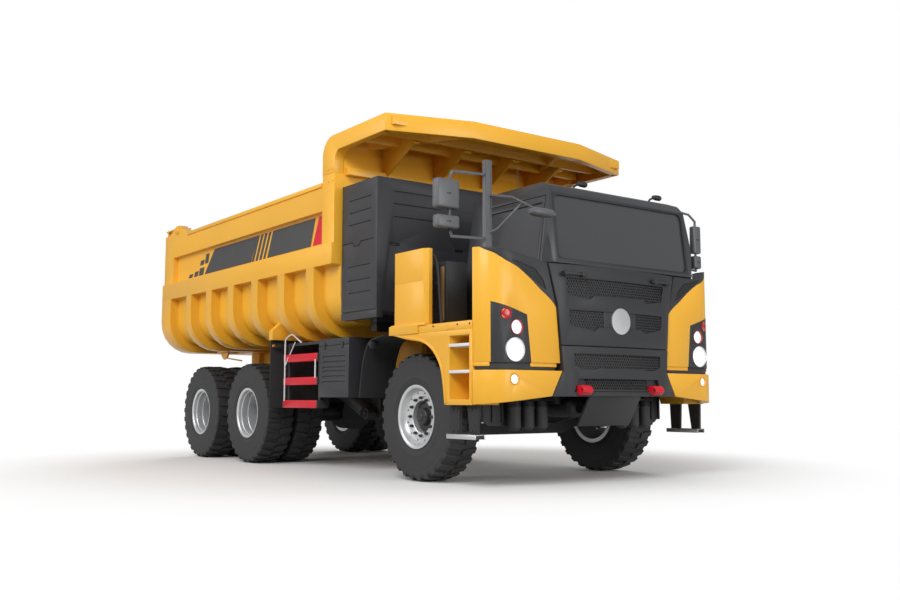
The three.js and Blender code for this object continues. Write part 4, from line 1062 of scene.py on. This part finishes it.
def makeSideGear():
    for name, side in sides:
        node = f"side_box_{name}"
        piece = copyOfNode(node)
        x = sideGear["boxX"]
        cutters = []
        y0, y1 = sideGear["louvreY"]
        for z in sideGear["louvres"]:
            cutters.append(slab("x", [(y0, z), (y1 - 0.04, z), (y1, z - 0.018), (y1, z - 0.028),
                                      (y1 - 0.04, z - 0.010), (y0, z - 0.010)], side * (x - 0.012),
                                side * (x + 0.02)))
        cutters.append(block((side * (x - 0.010), side * (x + 0.02)), (1.27, 2.10), (1.655, 1.663)))
        cutBy(piece, joined(cutters))
        refined(node, "boxGrey", 0.010, piece)
        latch = [block((side * (x - 0.004), side * (x + 0.012)), about(y, 0.025), (1.62, 1.70)) for y in (1.45, 1.92)]
        finished(f"box_latches_{name}", latch, "moulding", "chassis", 0.003)
    x0, x1 = sideGear["ladderX"]
    y0, y1 = sideGear["ladderY"]
    boards = [block((x0 - 0.003, x1 + 0.003), (y0 + 0.001, y1), (z - 0.003, z + sideGear["stepHeight"] + 0.002))
              for z in sideGear["stepZ"]]
    finished("ladder_boards", boards, "signalRed", "chassis", 0.006)
    caps = []
    for z in sideGear["stepZ"]:
        for y in (y0 + 0.012, y1 - 0.012):
            caps.append(block((x0 - 0.004, x1 + 0.004), about(y, 0.014),
                              (z - 0.004, z + sideGear["stepHeight"] + 0.004)))
    finished("ladder_end_caps", caps, "moulding", "chassis", 0.004)
    treads = []
    for z in sideGear["stepZ"]:
        top = z + sideGear["stepHeight"]
        for i in range(24):
            y = y0 + 0.07 + i * 0.0375
            treads.append(block((x0 + 0.018, x1 - 0.018), about(y, 0.005), (top - 0.002, top + 0.004)))
    finished("ladder_treads", treads, "signalRed")
    rail = [tube([(-1.822, 3.02, 0.93), (-1.822, 3.02, 1.80), (-1.80, 2.86, 1.87), (-1.72, 2.72, 1.74)], 0.011, 0.05),
            tube([(-1.822, 3.02, 1.42), (-1.78, 2.80, 1.75)], 0.008),
            tube([(-1.822, 2.13, 1.24), (-1.822, 2.13, 1.49)], 0.011)]
    finished("ladder_rail", rail, "whitePaint")


makeTubTrim()
makeCanopyTrim()
for name, side in sides:
    makeStripes(name, side)
makeBatteryBox()
makeSideGear()
print("body trim made")


# platforms: white treads, deck bolts, handrail, cabinet trim, guard line, hanging step treads
platform = {
    "edgeX": 1.880, "bolts": [(-0.687, 1.763), (-1.135, 1.759), (-1.355, 1.756), (-0.30, 1.763)],
    "plate": (-1.06, -0.938, 1.712, 1.772),
    "treads": (1.235, 1.520), "treadY": (-1.345, -0.985), "guardLine": 2.300,
    "rail": [(-1.70, -0.600, 1.79), (-1.70, -0.515, 2.49), (-1.70, -0.44, 2.62), (-1.70, -0.22, 2.66),
             (-1.70, 0.06, 2.60), (-1.70, 0.06, 1.79)],
    "step": (1.720, 1.840, -1.395, -0.892, 0.535, 0.572),
}


def makePlatform(name, side):
    x = platform["edgeX"]
    bolts = [hexHead((side * (x + 0.003), y, z), "x", side, 0.011, 0.010) for y, z in platform["bolts"]]
    finished(f"deck_bolts_{name}", bolts, "nutBlack")
    y0, y1, z0, z1 = platform["plate"]
    plate = block((side * (x - 0.002), side * (x + 0.004)), (y0, y1), (z0, z1))
    finished(f"deck_blank_plate_{name}", plate, "bodyYellow", "chassis", 0.002)
    for i, z in enumerate(platform["treads"]):
        y0, y1 = platform["treadY"]
        tread = block((side * 1.58, side * 1.886), (y0, y1), (z - 0.003, z + 0.031))
        finished(f"fender_tread_{i}_{name}", tread, "whitePaint", "chassis", 0.005)
    cover = slab("x", [(-0.40, 1.700), (0.199, 1.700), (0.199, 1.800), (0.14, 1.815), (-0.52, 1.815),
                       (-0.56, 1.795), (-0.56, 1.790), (-0.40, 1.790)], side * 1.86, side * 1.895)
    finished(f"fender_cap_{name}", cover, "bodyYellow", "chassis", 0.006)
    line = curve([(0.14, 1.700), (-0.15, 1.648), (-0.42, 1.610), (-0.62, 1.530), (-0.77, 1.390), (-0.85, 1.220),
                  (-0.905, 0.896)], 5)
    band = [(y, z) for y, z in line] + [(y - 0.035, z + 0.022) for y, z in reversed(line)]
    lip = slab("x", band, side * 1.82, side * 1.888)
    finished(f"fender_lip_{name}", lip, "bodyYellow", "chassis", 0.004)
    guard = f"side_guard_{name}"
    piece = copyOfNode(guard)
    line = block((side * 1.8775, side * 1.90), (-0.60, 0.14),
                 (platform["guardLine"] - 0.002, platform["guardLine"] + 0.002))
    cutBy(piece, line)
    refined(guard, "bodyYellow", 0.018, piece, 3)
    x0, x1, y0, y1, z0, z1 = platform["step"]
    bars = [block((side * (x - 0.006), side * (x + 0.006)), (y0 - 0.004, y1 + 0.004),
                  (z0 - 0.003, z1 + 0.010)) for x in (x0 - 0.001, x1 + 0.001)]
    for i in range(13):
        y = y0 + 0.018 + i * 0.039
        bars.append(block((side * x0, side * x1), about(y, 0.010), (z1 - 0.003, z1 + 0.008)))
    finished(f"step_tread_{name}", bars, "treadAluminium", "chassis", 0.002)
    bolts = [hexHead((side * 1.809, y, z), "x", side, 0.013, 0.010) for y in (-1.34, -1.285, -1.03,
                                                                              -0.955) for z in (0.62, 0.85)]
    finished(f"strap_bolts_{name}", bolts, "nutBlack")


def makeDeckGear():
    rail = [tube(platform["rail"], 0.017, 0.12), tube([(-1.70, -0.540, 2.28), (-1.70, 0.06, 2.28)], 0.012)]
    for y in (-0.600, 0.06):
        rail.append(turned([(0.0, 0), (0.0, 0.040), (0.010, 0.040), (0.012, 0)], (-1.70, y, 1.789), 24, "z"))
    finished("deck_rail", rail, "cabGrey")
    strip = block((-1.564, -1.555), (-0.455, -0.385), (1.86, 2.49))
    finished("cabinet_strip", strip, "cabinetBrown", "chassis", 0.002)
    door = block((-1.545, -1.275), (-0.508, -0.498), (1.83, 2.53))
    finished("cabinet_door", door, "panelGrey", "chassis", 0.006)
    lamp = turned([(-0.02, 0), (-0.02, 0.060), (0.014, 0.060), (0.022, 0.045), (0.024, 0)], (-1.65, 0.93, 1.640),
                  28, "y", -1)
    finished("mud_lamp", lamp, "moulding")
    for name, side in sides:
        path = [(0.62, 1.745), (0.95, 1.69), (1.08, 1.52), (1.14, 1.33), (1.20, 0.98)]
        line = curve(path, 5)
        outline = [(y, z) for y, z in line] + [(y - 0.022, z - 0.012) for y, z in reversed(line)]
        guard = slab("x", outline, side * 1.20, side * 1.70)
        finished(f"wheel_arch_liner_{name}", guard, "flapRubber", "chassis", 0.003)


for name, side in sides:
    makePlatform(name, side)
makeDeckGear()
print("platforms made")


# cab: windscreen seal, door handles, roof pieces, aerial, mirror shells and glasses
cabTrim = {
    "middleX": 0.200, "half": 1.085, "z": (2.500, 3.255), "noseY": -1.665, "lean": 0.1166, "corner": 0.075,
    "aerial": (-0.62, -0.67, 3.405), "roofLamps": [(-0.31, -1.30), (0.99, -1.30)],
}


def screenFace(z):
    return cabTrim["noseY"] + (z - 2.455) * cabTrim["lean"]


def makeScreenTrim():
    x0, x1 = cabTrim["middleX"] - cabTrim["half"], cabTrim["middleX"] + cabTrim["half"]
    z0, z1 = cabTrim["z"]
    c = cabTrim["corner"]
    ring = []
    for cx, cz, start in ((x1 - c, z1 - c, 0), (x0 + c, z1 - c, 90), (x0 + c, z0 + c, 180), (x1 - c, z0 + c, 270)):
        ring += arcPoints(cx, cz, c, start, start + 90, 5)
    band = slab("y", [(x0 - 0.012, z0 - 0.012), (x1 + 0.012, z0 - 0.012), (x1 + 0.012, z1 + 0.012),
                      (x0 - 0.012, z1 + 0.012)], -0.006, 0.014)
    hole = slab("y", [(cabTrim["middleX"] + (x - cabTrim["middleX"]) * 0.988, z + (2.8575 - z) * 0.03) for x,
                      z in ring], -0.1, 0.1)
    cutBy(band, hole)
    for vertex in band.data.vertices:
        vertex.co.y += screenFace(vertex.co.z) + 0.004
    finished("screen_seal", band, "nutBlack", "chassis", 0.002)


def makeRoofGear():
    x, y, z = cabTrim["aerial"]
    parts = [turned([(-0.02, 0), (-0.02, 0.035), (0.012, 0.030), (0.030, 0.012), (0.034, 0)], (x, y, z), 24, "z"),
             tube([(x, y, z + 0.02), (x + 0.005, y, z + 0.36)], 0.004)]
    finished("roof_aerial", parts, "nutBlack")
    for i, (x, y) in enumerate(cabTrim["roofLamps"]):
        foot = turned([(-0.03, 0), (-0.03, 0.045), (0.010, 0.040), (0.014, 0)], (x, y, 3.395), 24, "z")
        stem = tube([(x, y, 3.40), (x + 0.01, y - 0.02, 3.45), (x + 0.05, y - 0.06, 3.47)], 0.013, 0.02)
        head = turned([(0, 0), (0.010, 0.024), (0.06, 0.034), (0.13, 0.034), (0.150, 0.022), (0.155, 0)],
                      (x + 0.02, y - 0.06, 3.475), 24, "x")
        finished(f"roof_lamp_{i}", [foot, stem, head], "nutBlack")
    seam = block((-0.80, 1.20), (-1.26, -1.252), (3.404, 3.4125))
    finished("roof_seam", seam, "moulding", "chassis", 0.001)


mirrors = {
    "tall": {"x": (-2.320, -2.030), "y": (-1.365, -1.285), "z": (2.965, 3.270), "round": 0.030},
    "small": {"x": (-2.312, -2.032), "y": (-1.365, -1.285), "z": (2.755, 2.880), "round": 0.026},
    "left_tall": {"x": (1.530, 1.650), "y": (-1.570, -1.510), "z": (2.790, 3.130), "round": 0.022},
    "left_small": {"x": (1.535, 1.650), "y": (-1.570, -1.510), "z": (2.600, 2.750), "round": 0.022},
}


def makeMirrors():
    for node, heads in (("mirror_mast", ("tall", "small")), ("mirror_left", ("left_tall", "left_small"))):
        arms = copyOfNode(node)
        for key in heads:
            look = mirrors[key]
            cutBy(arms, block(*[(look[axis][0] - 0.002, look[axis][1] + 0.002) for axis in ("x", "y", "z")]))
        if node == "mirror_mast":
            cutBy(arms, block((-1.492, -1.138), (-1.947, -1.808), (2.883, 2.982)))
        refined(node, "mirrorGrey", 0.004, arms)
    for name, look in mirrors.items():
        grown = {key: (look[key][0] - grow, look[key][1] + grow) for key,
                 grow in (("x", 0.006), ("y", 0.014), ("z", 0.006))}
        shell = bevelled(block(grown["x"], grown["y"], grown["z"]), look["round"], 4)
        finished(f"mirror_shell_{name}", shell, "mirrorGrey")
        back = grown["y"][1]
        glass = block((look["x"][0] + 0.024, look["x"][1] - 0.024), (back - 0.003, back + 0.0025),
                      (look["z"][0] + 0.024, look["z"][1] - 0.024))
        bevelled(glass, 0.0015, 2)
        finished(f"mirror_glass_{name}", glass, "mirrorGlass")
        plug = [block(((look["x"][0] + look["x"][1]) / 2 + a, (look["x"][0] + look["x"][1]) / 2 + b),
                      (grown["y"][0] - 0.002, grown["y"][0] + 0.01), (sum(look["z"]) / 2 - c, sum(look["z"]) / 2 + c))
                for a, b, c in ((-0.026, -0.006, 0.007), (0.004, 0.026, 0.010))]
        finished(f"mirror_plug_{name}", plug, "nutBlack", "chassis", 0.001)
    head = turned([(0, 0), (0.012, 0.040), (0.07, 0.068), (0.19, 0.076), (0.30, 0.068), (0.350, 0.040), (0.362, 0)],
                  (-1.496, -1.876, 2.925), 32, "x")
    for vertex in head.data.vertices:
        vertex.co.z = 2.925 + (vertex.co.z - 2.925) * (0.72 if vertex.co.z > 2.925 else 0.60)
    finished("front_mirror_bowl", head, "mirrorGrey")


def makeDoorTrim():
    for name, side in sides:
        x = cabTrim["middleX"] + side * 1.250
        handle = [block((x - 0.004, x + side * 0.040), (-0.80, -0.62), (2.33, 2.37)),
                  block((x - 0.004, x + side * 0.010), (-0.83, -0.59), (2.30, 2.40))]
        finished(f"door_handle_{name}", handle, "moulding", f"door_{name}", 0.004)


makeScreenTrim()
makeRoofGear()
makeMirrors()
makeDoorTrim()
print("cab trim made")

# under the front: air tanks between the rails, dampers; under the body: a prop bracket with its rod
under = {"tankX": (-0.28, 0.0, 0.28), "tankY": (-1.35, -0.80), "tankZ": 0.860, "tankRadius": 0.115,
         "damper": ((0.60, -0.36, 1.22), (0.56, -0.14, 0.74)), "prop": (-1.215, -1.185),
         "shield": [(0.503, 1.02), (1.46, 0.99), (1.46, 0.74), (1.36, 0.66), (0.60, 0.64), (0.503, 0.70)],
         "shieldY": (-1.000, -0.985), "canisters": (0.66, 0.86, 1.06), "canister": (-1.095, 0.078, 0.60, 0.94)}


def makeUnder():
    y0, y1 = under["tankY"]
    r = under["tankRadius"]
    tanks = []
    for x in under["tankX"]:
        profile = [(y0, 0), (y0 + 0.008, r * 0.6), (y0 + 0.045, r * 0.93), (y0 + 0.08, r), (y1 - 0.08, r),
                   (y1 - 0.045, r * 0.93),
                   (y1 - 0.008, r * 0.6), (y1, 0)]
        tanks.append(turned(profile, (x, 0, under["tankZ"]), 28, "y"))
        for y in (y0 + 0.14, y1 - 0.14):
            tanks.append(turned([(y - 0.015, r - 0.002), (y - 0.015, r + 0.004), (y + 0.015, r + 0.004),
                                 (y + 0.015, r - 0.002), (y - 0.015, r - 0.002)], (x, 0, under["tankZ"]), 28, "y"))
    tanks.append(block((-0.42, 0.42), (-1.16, -1.08), (0.955, 0.985)))
    finished("air_tanks", tanks, "chassisBlack")
    for name, side in sides:
        top, foot = [Vector((side * x, y, z)) for x, y, z in under["damper"]]
        middle = top.lerp(foot, 0.5)
        damper = [tube([foot, middle], 0.038, sidesRound=16), tube([middle - (top - foot) * 0.06, top], 0.046,
                                                                   sidesRound=16)]
        for place in (top, foot):
            damper.append(turned([(-0.04, 0), (-0.04, 0.045), (0.04, 0.045), (0.04, 0)], place, 20, "x"))
        finished(f"front_damper_{name}", damper, "chassisBlack")
        face, back = under["shieldY"]
        shield = [slab("y", [(side * x, z) for x, z in under["shield"]], face, back)]
        for x in (0.56, 0.76, 0.96, 1.16, 1.30, 1.43):
            shield.append(block((side * (x - 0.012), side * (x + 0.012)), (face - 0.022, face + 0.004),
                                (0.70, 0.985)))
        shield.append(block((side * 0.503, side * 1.17), (-1.15, back), (0.938, 0.962)))
        y, r, z0, z1 = under["canister"]
        for x in under["canisters"]:
            profile = [(z0, 0), (z0 + 0.006, r * 0.55), (z0 + 0.030, r * 0.92), (z0 + 0.055, r), (z1 - 0.09, r),
                       (z1 - 0.09, r + 0.006),
                       (z1 - 0.06, r + 0.006), (z1 - 0.06, r), (z1, r), (z1, 0)]
            shield.append(turned(profile, (side * x, y, 0), 28, "z"))
        finished(f"splash_shield_{name}", shield, "chassisBlack", "chassis", 0.003)
    near, far = under["prop"]
    prop = [slab("x", [(6.35, 1.79), (6.74, 1.79), (6.66, 1.69), (6.57, 1.64), (6.46, 1.66), (6.40, 1.73)], near,
                 far),
            tube([(-1.20, 6.58, 1.675), (-1.20, 5.85, 1.60)], 0.013),
            block((-1.26, -1.14), (6.33, 6.76), (1.765, 1.790))]
    finished("body_prop", prop, "bodyYellow", "dump_body", 0.003)


makeUnder()
print("under pieces made")
